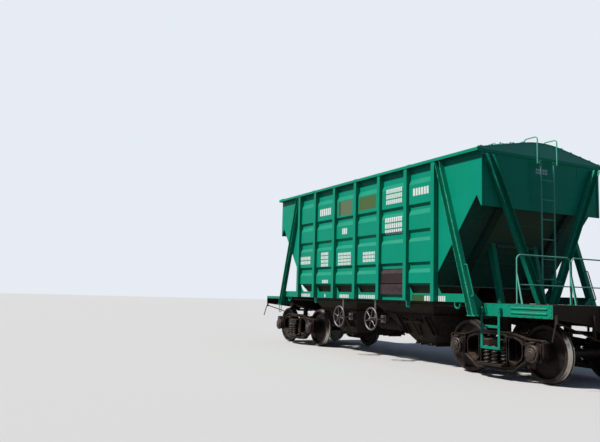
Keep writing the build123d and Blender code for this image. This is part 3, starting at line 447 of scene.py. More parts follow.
# %% Group: weathered paint
tree, takes, gives = new_group("weathered_paint", ("Color", "Fade"), Fresh=(0.0, 0.3, 0.2, 1),
                               Faded=(0.05, 0.35, 0.25, 1), Clouds=0.7, Streaks=0.3)
place = coordinate(tree)
clouds = ramp(noise(place, 1.7, 4.0), 0.35, 0.75)
streaks = ramp(noise(vector("MULTIPLY", place, (9.0, 9.0, 0.55)), 1.6, 3.0), 0.42, 0.8)
fade = plus(times(clouds, takes["Clouds"]), times(streaks, takes["Streaks"]), clamp=True)
tree.links.new(blend(fade, takes["Fresh"], takes["Faded"]), gives["Color"])
tree.links.new(fade, gives["Fade"])
print("group", tree.name)

# %% [markdown]
# Dust settles where a face looks up and stays thin on upright ones. The group reads the face's own normal,
# keeps its upward part, and breaks the edge with noise, so that the dust doesn't follow a ruled line.

# %% Group: settled dust
tree, takes, gives = new_group("settled_dust", ("Mask",), Level=0.7, Upright=0.1, Scale=6.0)
upward = axes(coordinate(tree, "Normal"))[2]
patchy = ramp(noise(coordinate(tree), takes["Scale"], 5.0, 0.65), 0.3, 0.75, 0.25, 1.0)
level_part = times(ramp(upward, 0.15, 0.8), takes["Level"])
tree.links.new(times(plus(level_part, takes["Upright"]), patchy, clamp=True), gives["Mask"])
print("group", tree.name)

# %% [markdown]
# Edges are touched, knocked and rubbed first. The Bevel node gives the normal that a rounded edge would have;
# where it leaves the true normal, there is an edge. Noise then takes parts of the line away again. The green paints
# and the cast metals also use this mask for painted highlights along edges.

# %% Group: edge wear and highlight
tree, takes, gives = new_group("edge_wear_and_highlight", ("Mask",), Radius=0.006, Amount=0.6, Scale=14.0)
rounded = node("Bevel", {"Radius": takes["Radius"]}, samples=4).outputs[0]
true_normal = node("NewGeometry", tree=tree).outputs["Normal"]
alike = node("VectorMath", {0: rounded, 1: true_normal}, operation="DOT_PRODUCT").outputs["Value"]
broken = ramp(noise(coordinate(tree), takes["Scale"], 5.0, 0.7), 0.42, 0.68)
tree.links.new(times(times(ramp(alike, 0.99, 0.82), broken), takes["Amount"], clamp=True), gives["Mask"])
print("group", tree.name)

# %% [markdown]
# Thin sheet is never quite flat: it pulls in between welds, and its paint has a fine grain. One broad and one
# fine noise are added into a height for a Bump node.

# %% Group: sheet ripple
tree, takes, gives = new_group("sheet_ripple", ("Height",), Broad=1.0, Broad_Scale=1.8, Fine=0.06, Fine_Scale=70.0)
place = coordinate(tree)
broad = times(noise(place, takes["Broad Scale"], 1.5, 0.4), takes["Broad"])
fine = times(noise(place, takes["Fine Scale"], 3.0, 0.6), takes["Fine"])
tree.links.new(plus(broad, fine), gives["Height"])
print("group", tree.name)

# %% [markdown]
# A painted-over rectangle is a mask: inside a box of object coordinates it is one, outside nought, and a
# little noise added to the place makes its border look like a brush's.

# %% Group: painted box
tree, takes, gives = new_group("painted_box", ("Mask",), Low=(0, 0, 0), High=(1, 1, 1), Wobble=0.006)
place = coordinate(tree)
shaken = node("TexNoise", {"Vector": place, "Scale": 22.0, "Detail": 2.0}).outputs["Color"]
shift = {0: vector("SUBTRACT", shaken, (0.5, 0.5, 0.5)), "Scale": takes["Wobble"]}
place = vector("ADD", place, node("VectorMath", shift, operation="SCALE").outputs[0])
x, y, z = axes(vector("MINIMUM", vector("SUBTRACT", place, takes["Low"]), vector("SUBTRACT", takes["High"], place)))
tree.links.new(ramp(calc("MINIMUM", calc("MINIMUM", x, y), z), -0.002, 0.003), gives["Mask"])
print("group", tree.name)

# %% [markdown]
# Short plain white bars stand in rows on the walls, all alike, sprayed on and a little flaked. The group turns
# a place inside a rectangle into shares from nought to one, cuts these into rows and bars, and keeps the
# middle part of each.

# %% Group: rows of bars
tree, takes, gives = new_group("bar_rows", ("Mask",), Place=(0, 0, 0), Low=(0, 0, 0), High=(1, 1, 1), Rows=1.0,
                               Bars=5.0)
size = vector("SUBTRACT", takes["High"], takes["Low"])
x, y, z = axes(vector("DIVIDE", vector("SUBTRACT", takes["Place"], takes["Low"]), size))
inward = [calc("MINIMUM", share, calc("SUBTRACT", 1.0, share)) for share in (x, z)]
mask = ramp(calc("MINIMUM", *inward), 0.0, 0.004)
for share, count, low, high in ((x, takes["Bars"], 0.07, 0.88), (z, takes["Rows"], 0.07, 0.90)):
    cut = calc("FRACT", times(share, count))
    mask = times(times(mask, ramp(cut, low, low + 0.05)), ramp(cut, high, high - 0.05))
flaked = ramp(noise(takes["Place"], 40.0, 4.0, 0.7), 0.34, 0.44)
tree.links.new(times(mask, flaked), gives["Mask"])
print("group", tree.name)

# %% [markdown]
# ## The materials
# Each material starts with a Principled BSDF whose plain numbers are set on its own sockets. Colour comes
# from the groups above, and so does the height for its bump. Two functions, one for the start and one for the
# last links, make this frame for all of them.

# %% Start and end of every material
def new_material(name, rough, metallic=0.0, shine=0.14):
    """A material, its tree and its Principled BSDF; a low shine keeps dark colours dark."""
    material = bpy.data.materials.new(name)
    material.use_nodes = True
    tree = material.node_tree
    tree.nodes.clear()
    plain = {"Roughness": rough, "Metallic": metallic, "Specular IOR Level": shine}
    shader = node("BsdfPrincipled", plain, tree)
    node("OutputMaterial", {"Surface": shader.outputs[0]})
    return material, tree, shader


def dress(shader, colour, rough=None, height=None, distance=0.0, strength=1.0):
    """Links colour and roughness to the shader; the height, in metres times distance, bends its normal."""
    links, takes = shader.id_data.links, shader.inputs
    links.new(colour, takes["Base Color"])
    if rough:
        links.new(rough, takes["Roughness"])
    if height:
        bump = node("Bump", {"Strength": strength, "Distance": distance, "Height": height})
        links.new(bump.outputs[0], takes["Normal"])


print("effects shared by the finishes:", len(bpy.data.node_groups))

# %% [markdown]
# The body is painted green. Sun has faded it a little, dust lies on level faces, and dirt has been thrown up on the
# lowest part. Knocked edges are rubbed pale, and the same pale edge colour is also a painted highlight where
# edges catch the light. The gable over each end wall is painted lighter, which is a painted highlight too. Parts of
# the right side were painted over in olive and in dark brown, so the wall's material takes a list of boxes with a
# colour for each.

# %% Body paint
GREEN, GREEN_FADED, MARK_WHITE = srgb(4, 152, 121), srgb(14, 158, 130), srgb(240, 243, 240)
OLIVE, OLIVE_GREY, UMBER = srgb(84, 112, 66), srgb(106, 124, 92), srgb(56, 44, 46)
WALL_FACE, END_FACE, GABLE_LOW = 1.497, 4.040, up(4.00)


def body_paint(name, boxes=(), marks=(), marked=0, fresh=GREEN, faded=GREEN_FADED, wear=(0.008, 0.50),
               rubbed_edge_highlight=srgb(128, 186, 168)):
    """Paint with patches in boxes and rows of bars; marked says which level coordinate the bars run along,
    wear is the width and the amount of pale edges, which are worn paint and painted highlight in one."""
    material, tree, shader = new_material(name, 0.42, 0.0, 0.08)
    place = coordinate(tree)
    parts = axes(place)
    colour, fade = placed(tree, "weathered_paint", Fresh=fresh, Faded=faded, Clouds=0.45, Streaks=0.25)
    for low, high, patch in boxes:
        colour = blend(placed(tree, "painted_box", Low=low, High=high)[0], colour, patch)
    if marks:
        flat = node("CombineXYZ", {0: parts[marked], 2: parts[2]}).outputs[0]
        white = 0.0
        for x0, x1, z0, z1, rows, bars in marks:
            block = placed(tree, "bar_rows", Place=flat, Low=(x0, -1, up(z0)), High=(x1, 1, up(z1)), Rows=rows,
                           Bars=bars)
            white = calc("MAXIMUM", white, block[0])
        across_face = calc("ABSOLUTE", parts[1 - marked])
        outside = beyond(across_face, END_FACE + 0.007, 0.002) if marked else beyond(across_face, WALL_FACE, 0.001)
        colour = blend(times(white, outside), colour, MARK_WHITE)
    # Painted highlight: the gable over each end wall is painted lighter, for the light that it catches.
    gable_highlight = times(beyond(parts[2], GABLE_LOW, 0.01), beyond(calc("ABSOLUTE", parts[0]), END_FACE, 0.01))
    # Pale edges: rubbed paint, and also a painted highlight where edges catch the light.
    worn_and_highlit, = placed(tree, "edge_wear_and_highlight", Radius=wear[0], Amount=wear[1], Scale=18.0)
    splash = times(ramp(parts[2], up(1.75), up(1.05)), ramp(noise(place, 5.0, 5.0, 0.7), 0.35, 0.8))
    dust, = placed(tree, "settled_dust", Level=0.22, Upright=0.004, Scale=3.5)
    colour = layered(colour, (times(gable_highlight, 0.55), srgb(120, 208, 188)), (worn_and_highlit, rubbed_edge_highlight),
                     (times(splash, 0.35), srgb(60, 74, 60)), (dust, srgb(150, 146, 128)))
    ripple, = placed(tree, "sheet_ripple", Broad=1.0, Fine=0.02, Fine_Scale=120.0)
    dress(shader, colour, plus(times(fade, 0.18), plus(times(dust, 0.4), 0.40)), ripple, 0.008)
    return material


side_patches = [((x0, -1.7, up(z0)), (x1, -1.3, up(z1)), colour) for x0, x1, z0, z1, colour in (
    (-0.80, -0.70, 3.235, 3.575, srgb(72, 98, 52)), (-0.70, -0.19, 3.235, 3.575, OLIVE_GREY),
    (0.12, 0.81, 3.275, 3.575, OLIVE), (1.02, 1.885, 1.602, 1.93, UMBER),
    (2.075, 2.585, 1.262, 1.400, srgb(62, 96, 60)))]
# Blocks of bars: from x, to x, from height, to height, rows, bars in a row
side_marks = [
    (2.14, 2.66, 3.35, 3.54, 1, 6), (1.20, 1.78, 3.28, 3.63, 3, 8), (1.17, 1.79, 2.64, 3.02, 3, 8),
    (-1.74, -1.17, 3.30, 3.52, 1, 6), (-0.62, -0.385, 2.77, 2.95, 1, 3), (-2.76, -2.19, 2.12, 2.34, 2, 7),
    (-1.63, -1.26, 2.04, 2.41, 4, 6), (-0.79, -0.20, 2.05, 2.36, 4, 9), (0.31, 0.80, 2.09, 2.33, 3, 8),
    (-1.55, -1.25, 1.63, 1.73, 1, 4), (-2.76, -2.25, 1.285, 1.385, 1, 7), (-1.51, -1.44, 1.285, 1.385, 1, 1),
    (-0.77, -0.34, 1.285, 1.385, 1, 6), (0.08, 0.75, 1.285, 1.385, 1, 9), (2.46, 2.765, 1.272, 1.398, 1, 4),
    (2.88, 3.10, 1.272, 1.398, 1, 4)]
wall_paint = body_paint("wall_paint", side_patches, side_marks)
end_paint = body_paint("end_paint", (), [(-0.17, 0.13, 3.68, 3.79, 2, 7)], 1)
green_paint = body_paint("green_paint")
# The struts' edges are painted broad and pale: mostly a painted highlight for the light that their flanges catch.
strut_paint = body_paint("strut_paint", wear=(0.014, 0.9), rubbed_edge_highlight=srgb(178, 224, 210))
# A lighter copy of the green paint is a painted highlight: ladders, railings and the lip at each floor's foot are
# painted paler for the light that these thin parts catch.
highlight_pipe_paint = body_paint("highlight_pipe_paint", fresh=srgb(92, 188, 164), faded=srgb(140, 206, 190), wear=(0.006, 0.6))
print("patches painted over:", len(side_patches), "blocks of bars:", len(side_marks) + 1)

# %% [markdown]
# Below the body, cement dust and road dirt decide the colour. The hoppers and the sloping floors were painted
# too, but grey-brown dust covers most of it, thickest where it can lie. Two colours of dirt in two sizes of
# noise keep large sheets from looking flat.

# %% Dusty sheets
RIB_Y, RIB_HALF = 0.880, 0.074


def dusty_sheet(name, paint, dirt, dry, cover, above=None):
    """Paint under dirt: cover is how much of it the dirt takes; above is a height from which the colour turns paler
    upwards and towards the middle, and where it is given the ribs also get a band of painted shade."""
    material, tree, shader = new_material(name, 0.8)
    place = coordinate(tree)
    broad = ramp(noise(place, 1.3, 4.0), 0.30, 0.70)
    fine = ramp(noise(place, 8.0, 5.0, 0.7), 0.35, 0.75)
    runs = ramp(noise(vector("MULTIPLY", place, (7.0, 7.0, 0.8)), 1.5, 3.0), 0.4, 0.75)
    dust, = placed(tree, "settled_dust", Level=0.6, Upright=0.06, Scale=7.0)
    worn_and_highlit, = placed(tree, "edge_wear_and_highlight", Radius=0.006, Amount=0.4, Scale=12.0)
    colour = blend(plus(times(broad, 0.5), cover, clamp=True), paint, dirt)
    colour = layered(colour, (times(fine, 0.45), dry), (times(runs, 0.25), dirt), (dust, dry),
                     (worn_and_highlit, srgb(112, 92, 72)))
    # On the sloping floors the colour turns paler upwards and towards the middle, and a dark band on each rib is
    # painted shade, for the shadow on the rib's side.
    if above:
        x, y, z = axes(place)
        y = calc("ABSOLUTE", y)
        pale = times(ramp(z, above, above + 0.9), ramp(y, 1.35, 0.5))
        rib = times(beyond(y, RIB_Y - RIB_HALF, 0.006), beyond(y, RIB_Y + RIB_HALF, -0.006))
        colour = layered(colour, (times(pale, 0.6), dry), (times(rib, 0.7), srgb(6, 34, 30)))
    ripple, = placed(tree, "sheet_ripple", Broad=0.8, Fine=0.10, Fine_Scale=45.0)
    dress(shader, colour, plus(times(fine, 0.2), 0.68), ripple, 0.010)
    return material


hopper_dirt = dusty_sheet("hopper_dirt", srgb(40, 38, 33), srgb(60, 51, 42), srgb(106, 96, 80), 0.30)
floor_dirt = dusty_sheet("floor_dirt", srgb(10, 98, 84), srgb(26, 70, 62), srgb(96, 112, 92), 0.10, up(1.9))
under_paint = dusty_sheet("under_paint", srgb(28, 25, 24), srgb(44, 37, 33), srgb(92, 80, 70), 0.20)
deck_dirt = dusty_sheet("deck_dirt", srgb(48, 44, 40), srgb(86, 76, 66), srgb(138, 126, 112), 0.45)
print("dusty sheets:", 4)

# %% [markdown]
# Cast bogie parts are rough from the mould, brown-black with oil and brake dust, rusty where the black has
# gone, and pale on top where dust stays. Their bright edges are worn metal and also a painted highlight for
# glints of sun. Grain comes from a noise with many small steps.

# %% Cast steel
def cast_metal(name, base, rust, dry, metallic, rough):
    """Base colour stained with rust, bright on knocked edges, which are also a painted highlight, and dry with dust
    on top; rust is also rougher.
    """
    material, tree, shader = new_material(name, rough, metallic)
    place = coordinate(tree)
    stains = ramp(noise(place, 5.0, 5.0, 0.65), 0.42, 0.72)
    worn_and_highlit, = placed(tree, "edge_wear_and_highlight", Radius=0.006, Amount=0.7, Scale=20.0)
    dust, = placed(tree, "settled_dust", Level=0.75, Upright=0.05, Scale=9.0)
    # Bright edges: worn metal, and a painted highlight for glints.
    colour = layered(blend(stains, base, rust), (worn_and_highlit, srgb(128, 112, 100)), (dust, dry))
    pits = plus(times(noise(place, 90.0, 4.0, 0.7), 0.4), noise(place, 16.0, 2.0))
    dress(shader, colour, plus(times(stains, 0.25), rough - 0.1), pits, 0.006, 0.8)
    return material


cast_steel = cast_metal("cast_steel", srgb(30, 27, 27), srgb(58, 45, 38), srgb(150, 130, 114), 0.35, 0.46)
spring_steel = cast_metal("spring_steel", srgb(58, 54, 54), srgb(80, 64, 54), srgb(140, 126, 114), 0.7, 0.38)
worn_iron = cast_metal("worn_iron", srgb(92, 90, 94), srgb(112, 100, 94), srgb(190, 184, 178), 0.6, 0.40)
cover_steel = cast_metal("cover_steel", srgb(58, 53, 52), srgb(84, 70, 62), srgb(164, 148, 134), 0.35, 0.46)
rusty_iron = cast_metal("rusty_iron", srgb(58, 44, 38), srgb(92, 62, 46), srgb(140, 120, 102), 0.3, 0.6)
print("metals:", 5)

# %% [markdown]
# A wheel shows how it works: the tread is polished by rolling, the rim's face is brown, and the disc is dark
# with oil and brake dust. All of these are rings round the axle, so the mask is the distance from the axle's
# line. The four axles stand at plus and minus the same two places, which lets one formula serve all wheels.

# %% Wheel steel
RIM_FROM, TREAD_FROM = 0.4125, 0.457
wheel_steel, tree, shader = new_material("wheel_steel", 0.5, 0.3)
place = coordinate(tree)
x, y, z = axes(place)
from_axle = calc("SUBTRACT", calc("ABSOLUTE", calc("SUBTRACT", calc("ABSOLUTE", x), PIVOT)), AXLE_X)
rise = calc("SUBTRACT", z, AXLE_Z)
radius = calc("SQRT", plus(times(from_axle, from_axle), times(rise, rise)))
sideways = calc("ABSOLUTE", axes(coordinate(tree, "Normal"))[1])
tread = times(beyond(radius, TREAD_FROM, 0.005), ramp(sideways, 0.75, 0.55))
stains = ramp(noise(place, 6.0, 5.0, 0.65), 0.38, 0.72)
splashes = times(ramp(noise(place, 10.0, 3.0), 0.4, 0.7), 0.3)
rim = beyond(radius, RIM_FROM, 0.0075)
colour = layered(blend(stains, srgb(19, 17, 17), srgb(38, 30, 27)), (rim, srgb(52, 43, 39)),
                 (splashes, srgb(78, 66, 58)), (tread, srgb(176, 168, 160)))
dress(shader, colour, ramp(tread, 0.0, 1.0, 0.60, 0.30), noise(place, 60.0, 4.0, 0.7), 0.003, 0.5)
tree.links.new(ramp(tread, 0.0, 1.0, 0.25, 0.95), shader.inputs["Metallic"])
print("wheel rings at radius", RIM_FROM, "and", TREAD_FROM)

# %% [markdown]
# The CAD nodes keep their shape and only change their material: assigning to a node's material slots is
# enough, and its mesh isn't touched. The table here says which finish goes to the nodes whose names start
# with these words.

# %% Materials for the CAD nodes
finishes = ((wall_paint, "side_wall side_sill"), (end_paint, "end_wall"), (highlight_pipe_paint, "end_ladder railing"),
            (green_paint, "roof_bay hatch_lid corner_step"), (strut_paint, "corner_brace end_struts"),
            (deck_dirt, "running_board"), (floor_dirt, "end_floor"),
            (hopper_dirt, "lower_hopper outlet_flap sill_saddle"),
            (under_paint, "platform centre_sill body_bolster air_reservoir brake_cylinder"),
            (cast_steel, "bogie_ coupler"), (wheel_steel, "wheelset"), (worn_iron, "hand_wheels"))
for name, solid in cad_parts.items():
    solid.data.materials.clear()
    for finish, starts in finishes:
        if name.startswith(tuple(starts.split())):
            solid.data.materials.append(finish)
print("CAD nodes dressed:", len(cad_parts))

# %% [markdown]
# ## The floor
# The object stands on a plain pale floor, which isn't part of it. A real pale floor would throw much light up
# under the wagon. The floor's material is therefore darker for light that bounces than for the camera, and it
# still takes the wagon's shadow.

# %% Floor
FLOOR_HALF, FLOOR_LINES = 150.0, 9
floor_finish, tree, shader = new_material("pale_floor", 0.9)
dress(shader, blend(shown_rays(tree), (0.095, 0.092, 0.09, 1), (0.72, 0.71, 0.69, 1)))
u = np.linspace(-FLOOR_HALF, FLOOR_HALF, FLOOR_LINES)
upward_quads = grid_quads(FLOOR_LINES, FLOOR_LINES, False, False)
new_object("pale_floor", new_mesh("pale_floor", (every(u, u, 0), upward_quads), floor_finish))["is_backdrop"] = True
print("floor faces", len(upward_quads))

# %% [markdown]
# ## Bogie springs
# Each side of a bogie rests on a nest of seven coil springs. A coil is a round wire carried along a helix:
# the path turns evenly while it rises, and near both ends the rise fades so that the last turn lies flat on
# its seat. The wire is the profile, the helix is the path, and one nest is seven copies of the same coil.

# %% Coil springs
SPRING_SEAT, BOLSTER_LOW = up(0.240), up(0.545)
COIL_RADIUS, WIRE = 0.062, 0.0125
NEST = np.array([(-0.5, -1), (0.5, -1), (-1, 0), (0, 0), (1, 0), (-0.5, 1), (0.5, 1)]) * (0.185, 0.120)


def coil(turns=6.0, per_turn=18):
    """x = R cos a, y = R sin a, z rising from the seat to the bolster, level for the first and last
    three quarters of a turn and straight between."""
    t = np.linspace(0, 1, int(turns * per_turn) + 1)
    a = t * turns * 2 * np.pi
    level = 0.75 / turns
    rise = np.clip((t - level) / (1 - 2 * level), 0, 1)
    low, high = SPRING_SEAT + WIRE + 0.001, BOLSTER_LOW - WIRE - 0.001
    path = places(COIL_RADIUS * np.cos(a), COIL_RADIUS * np.sin(a), low + (high - low) * rise)
    return carry(circle(WIRE, 8), path, UP)


one_coil = coil()
for end, middle in ENDS:
    for hand, side in (("right", -1), ("left", 1)):
        spots = places(NEST[:, 0] + middle, NEST[:, 1] + side * JOURNAL_Y, 0)
        make_piece("springs_" + end + "_" + hand, copies(one_coil, spots), spring_steel, "bogie_" + end,
                   60)
print("one coil has", len(one_coil[1]), "quads, four nests of seven")

# %% [markdown]
# ## Axle box fittings
# The front cover of a roller-bearing axle box is held by a ring of bolts, and the cap inside it by three more.
# Rim and cap are profiles turned about the axle's line, and the bolts are copies on two circles.

# %% Axle box covers
COVER_Y = JOURNAL_Y + 0.095 + 0.040


def axle_box_cover():
    """Rim and cap profiles turned about the axle, eight bolts round the rim and three on the cap."""
    centre = (0, -COVER_Y, 0)
    rim = turned([(0.140, -0.004), (0.140, 0.005), (0.134, 0.010), (0.108, 0.012), (0.104, 0.010), (0.104, -0.004)],
                 centre, OUT, 40)
    cap = turned([(0.096, 0.0), (0.096, 0.024), (0.088, 0.030), (0.052, 0.034), (0.046, 0.040), (0.018, 0.042)],
                 centre, OUT, 32)
    heads = []
    for on_circle, off, scale in ((circle(0.121, 8, 0.5), 0.011, 1.3), (circle(0.070, 3, 0.75), 0.032, 0.9)):
        u, v = on_circle.T
        heads.append(bolts(places(u, -COVER_Y - off, v), OUT, scale))
    return joined([rim, cap] + heads)


one_cover = axle_box_cover()
for end, middle in ENDS:
    covers = copies(one_cover, every((middle + AXLE_X, middle - AXLE_X), 0, AXLE_Z))
    make_piece("axle_box_covers_" + end, both(covers, 1), cover_steel, "bogie_" + end)
print("cover has", len(one_cover[1]), "quads")

# %% [markdown]
# ## Roof edge, roof joints and hatch fittings
# Strips cover the joints between the roof's pressed bays, and follow its curve. Along both ends of the roof
# small clips hold the edge. A strip is a flat profile carried over the roof's outline, which is straight to
# the crown and an arc over it.

# %% Roof strips and clips
ROOF_HALF, EAVE_TOP, ROOF_SLOPE, CROWN_HALF = 1.610, up(4.0076), 0.19, 0.500
JOINT_X, EDGE_X, CLIP_X = 2.040, 4.058, 4.045
HATCHES = (-3.06, -1.02, 1.02, 3.06)


def roof_height(y):
    """Height of the roof's skin: straight slope outside the crown, an arc that meets it smoothly inside."""
    y = np.abs(y)
    straight = EAVE_TOP + (ROOF_HALF - y) * ROOF_SLOPE
    rise = CROWN_HALF * ROOF_SLOPE / 2
    arc_radius = (rise ** 2 + CROWN_HALF ** 2) / (2 * rise)
    top = EAVE_TOP + (ROOF_HALF - CROWN_HALF) * ROOF_SLOPE + rise
    arc = top - arc_radius + np.sqrt(np.maximum(arc_radius ** 2 - y ** 2, 0.0))
    return np.where(y > CROWN_HALF, straight, arc)


across = np.concatenate([np.linspace(-1.600, -0.5, 7), np.linspace(-0.4, 0.4, 9), np.linspace(0.5, 1.600, 7)])
outline = places(0, across, roof_height(across) + 0.004)
joints = copies(carry(eased_rectangle(0.010, 0.090, 0.004), outline, ALONG), every((-JOINT_X, 0, JOINT_X), 0, 0))
edges = copies(carry(eased_rectangle(0.012, 0.040, 0.004), outline, ALONG), every((-EDGE_X, EDGE_X), 0, 0))
clip_y = 1.51 - 0.255 * np.arange(5)
clip_spots = np.concatenate([places(x, y, roof_height(y)) for x in (-CLIP_X, CLIP_X) for y in (-clip_y, clip_y)])
clips = copies(eased_block((-0.035, -0.028, -0.004), (0.030, 0.028, 0.026), 0.006), clip_spots)
make_piece("roof_strips", joined([joints, edges, clips]), green_paint)
print("roof strips over", len(across), "stations")

# %% [markdown]
# Each lid has a handle on its rim, a gasket under it and four clamps with nuts on the side away from the
# hinge. They turn with the lid, so they ride on its body. Nothing rises above the lid's crown.

# %% Hatch fittings
LID_TOP = up(4.386)


def lid_fittings(x):
    """Handle carried along a bent path, gasket turned about the lid's middle, clamps and nuts on its circle."""
    reach, lift = np.array([-0.09, -0.09, 0.09, 0.09]), np.array([0.006, 0.037, 0.037, 0.006])
    handle = carry(circle(0.007, 8), soft_path(places(x + reach, -0.31, LID_TOP + lift), 0.015), ACROSS)
    gasket = turned([(0.322, 0.000), (0.336, 0.000), (0.3405, 0.006), (0.336, 0.011), (0.322, 0.011)],
                    (x, 0, LID_TOP), UP, 40)
    a = np.radians([-160, -125, -55, -20])
    clamp = eased_block((-0.018, -0.014, 0.004), (0.018, 0.014, 0.022), 0.005)
    nut = turned([(0.016, 0.0), (0.018, 0.004), (0.018, 0.014), (0.013, 0.019)], (0, 0, 0.021), UP, 6)
    spots = places(x + 0.312 * np.cos(a), 0.312 * np.sin(a), LID_TOP + 0.002)
    return joined([handle, gasket, copies(joined([clamp, nut]), spots)])


for number, x in enumerate(HATCHES, 1):
    make_piece("lid_fittings_" + str(number), lid_fittings(x), green_paint, "hatch_" + str(number))
print("lids fitted:", len(HATCHES))

# %% [markdown]
# ## Weld seams and joints
# Sheets this large are welded from smaller ones. A weld is a low bead with small even waves along it, one for
# each move of the electrode. The bead's round profile is carried along a densely stepped line, and its size
# swings a little on the way, so the waves come from one cosine.

# %% Weld beads
SLOPE_TAN = math.tan(math.radians(51.8))
SLOPE_FOOT, WALL_LOW, END_X, SHEET_ALONG = 2.678, up(1.585), 4.050, 0.0077
BEAD_STEP, WAVE, WAVE_LENGTH = 0.006, 0.18, 0.018


def slope_at(z):
    """Place along the wagon where the end floor's lower face has this height."""
    return SLOPE_FOOT + (z - WALL_LOW) / SLOPE_TAN + SHEET_ALONG


def weld(start, end, reference, size=0.005):
    """Straight bead: radius size * (1 + WAVE cos(2 pi distance / WAVE_LENGTH)) carried from start to end."""
    start, end = np.asarray(start, float), np.asarray(end, float)
    length = np.linalg.norm(end - start)
    s = np.linspace(0, 1, max(int(length / BEAD_STEP), 8))[:, None]
    swell = size * (1 + WAVE * np.cos(2 * np.pi * s * length / WAVE_LENGTH))
    return carry(circle(1.0, 5), start + (end - start) * s, reference, swell=swell[..., None])


end_beads = [weld((END_X, y, low), (END_X, y, up(3.94)), ACROSS)
             for y, low in ((-0.33, up(3.10)), (0.92, up(2.99)))]
end_beads.append(weld((END_X, -1.455, up(3.30)), (END_X, 1.455, up(3.30)), UP, 0.004))
end_beads += [weld((slope_at(z), -1.46, z), (slope_at(z), 1.46, z), UP) for z in up((2.75, 2.05))]
make_piece("end_weld_beads", both(joined(end_beads), 0), green_paint, smooth=60)
# A thin strip along the foot of each sloping floor, painted pale: a painted highlight for the sunlit edge of the
# sheet.
lip = eased_block((SLOPE_FOOT - 0.004, -1.486, up(1.572)), (SLOPE_FOOT + 0.014, 1.486, up(1.592)), 0.003)
make_piece("slope_foot_highlight_lip", both(lip, 0), highlight_pipe_paint)

side_beads = [weld((x, -WALL_Y, up(3.225)), (x, -WALL_Y, up(3.90)), ACROSS, 0.004) for x in (-3.35, 3.35)]
side_beads += [weld((x, -WALL_Y, up(1.60)), (x, -WALL_Y, up(3.93)), ACROSS, 0.0035)
               for x in np.add.outer(POSTS, (-POST_HALF, POST_HALF)).ravel()]
make_piece("side_weld_beads", both(joined(side_beads), 1), green_paint, smooth=60)
print("weld beads:", 2 * len(end_beads) + 2 * len(side_beads))

# %% [markdown]
# ## Bolts on the platform, the braces and the ladders
# Bolt heads come as one small shell, copied to rows of places. Each row is named for what it holds: the side
# plate to the deck's edge angle, the brace to its foot plate, the ladder's brackets to the end wall.

# %% Bolt rows
DECK, PLATE_Y, STEP_Y = up(1.280), 1.290, 1.350

side_bolts = np.concatenate([every(np.linspace(3.95, 5.34, 9), -PLATE_Y, up((1.078, 1.255))),
                             every(5.375, -PLATE_Y, up((1.11, 1.17, 1.23)))])
step_bolts = every((3.885, 4.300), -STEP_Y, up((1.135, 1.185, 0.886, 0.526)))
plate_heads = joined([bolts(side_bolts, OUT), bolts(step_bolts, OUT, 1.15)])
make_piece("platform_bolts", both(plate_heads, 1), green_paint)

foot_spots = every((3.805, 3.995), (-1.530, -1.580), up(1.060))
feet = joined([bolts(foot_spots, UP, 1.3), bolts(foot_spots - (0, 0, 0.012), (0, 0, -1), 1.3)])
make_piece("brace_foot_bolts", at_four(feet), green_paint)
print("bolts on each side plate:", len(side_bolts) + len(step_bolts))

# %% [markdown]
# The railing's posts stand on small plates, and the ladder's stiles end in clips. A plate is an eased block
# with a bolt near each corner.

# %% Foot plates and clips
BOLT_SHARE = np.array([-0.32, 0.32])
RAILING_X, RAILING_Y, LADDER_X, STILE_Y = 4.650, 1.245, 4.1765, 0.163


def foot_plate(x, y, wide, long):
    """Plate on the deck with four bolts at 0.32 of its width and length from the middle."""
    plate = eased_block((x - long / 2, y - wide / 2, DECK), (x + long / 2, y + wide / 2, DECK + 0.008), 0.003)
    return joined([plate, bolts(every(x + long * BOLT_SHARE, y + wide * BOLT_SHARE, DECK + 0.008), UP, 0.8)])


rail_feet = [foot_plate(RAILING_X, y, wide, 0.090)
             for y, wide in ((0, 0.120), (-RAILING_Y, 0.080), (RAILING_Y, 0.080))]
make_piece("railing_feet", joined(rail_feet), green_paint)

clip = joined([eased_block((-0.014, -0.030, -0.020), (0.006, 0.030, 0.020), 0.004),
               bolts(every(0.006, (-0.018, 0.018), 0), ALONG, 0.9)])
clip_spots = every(LADDER_X, (-STILE_Y, STILE_Y), up((1.700, 3.885)))
make_piece("ladder_clips", copies(clip, clip_spots), green_paint)
print("feet:", len(rail_feet), "clips:", len(clip_spots))

# %% [markdown]
# ## Brake pipe
# An air pipe runs along the wagon under the right side sill. Clamp bands hold it, and each hangs from the sill
# by a flat strap.

# %% Brake pipe
PIPE_HALF, PIPE_Y, PIPE_Z = 3.70, 1.405, up(1.215)
pipe = carry(circle(0.017, 12), places((-PIPE_HALF, 0, PIPE_HALF), -PIPE_Y, PIPE_Z), UP)
band = drum(0.0175, 0.0215, -0.014, 0.014, (0, -PIPE_Y, PIPE_Z), ALONG, 16)
strap = eased_block((-0.010, -PIPE_Y - 0.004, PIPE_Z + 0.018), (0.010, -PIPE_Y + 0.004, up(1.283)), 0.001)
bands = copies(joined([band, strap]), every((-3.4, -2.4, -1.5, -0.5, 0.5, 1.5, 2.4, 3.4), 0, 0))
make_piece("brake_pipe", joined([pipe, bands]), under_paint)
print("pipe at height", round(PIPE_Z, 3))

# %% [markdown]
# ## Bogie and brake details
# The columns beside the springs carry wear plates, whose bolts show outside. Rods tie the two brake beams
# together under the bolster. Everything here belongs to a bogie and swivels with it.

# %% Bogie fittings
WEB_Y, ROD_Y = JOURNAL_Y + 0.023, -0.12
BEAM_X, BEAM_Z = 0.386, AXLE_Z - 0.035
ROD_Z = BEAM_Z - 0.040


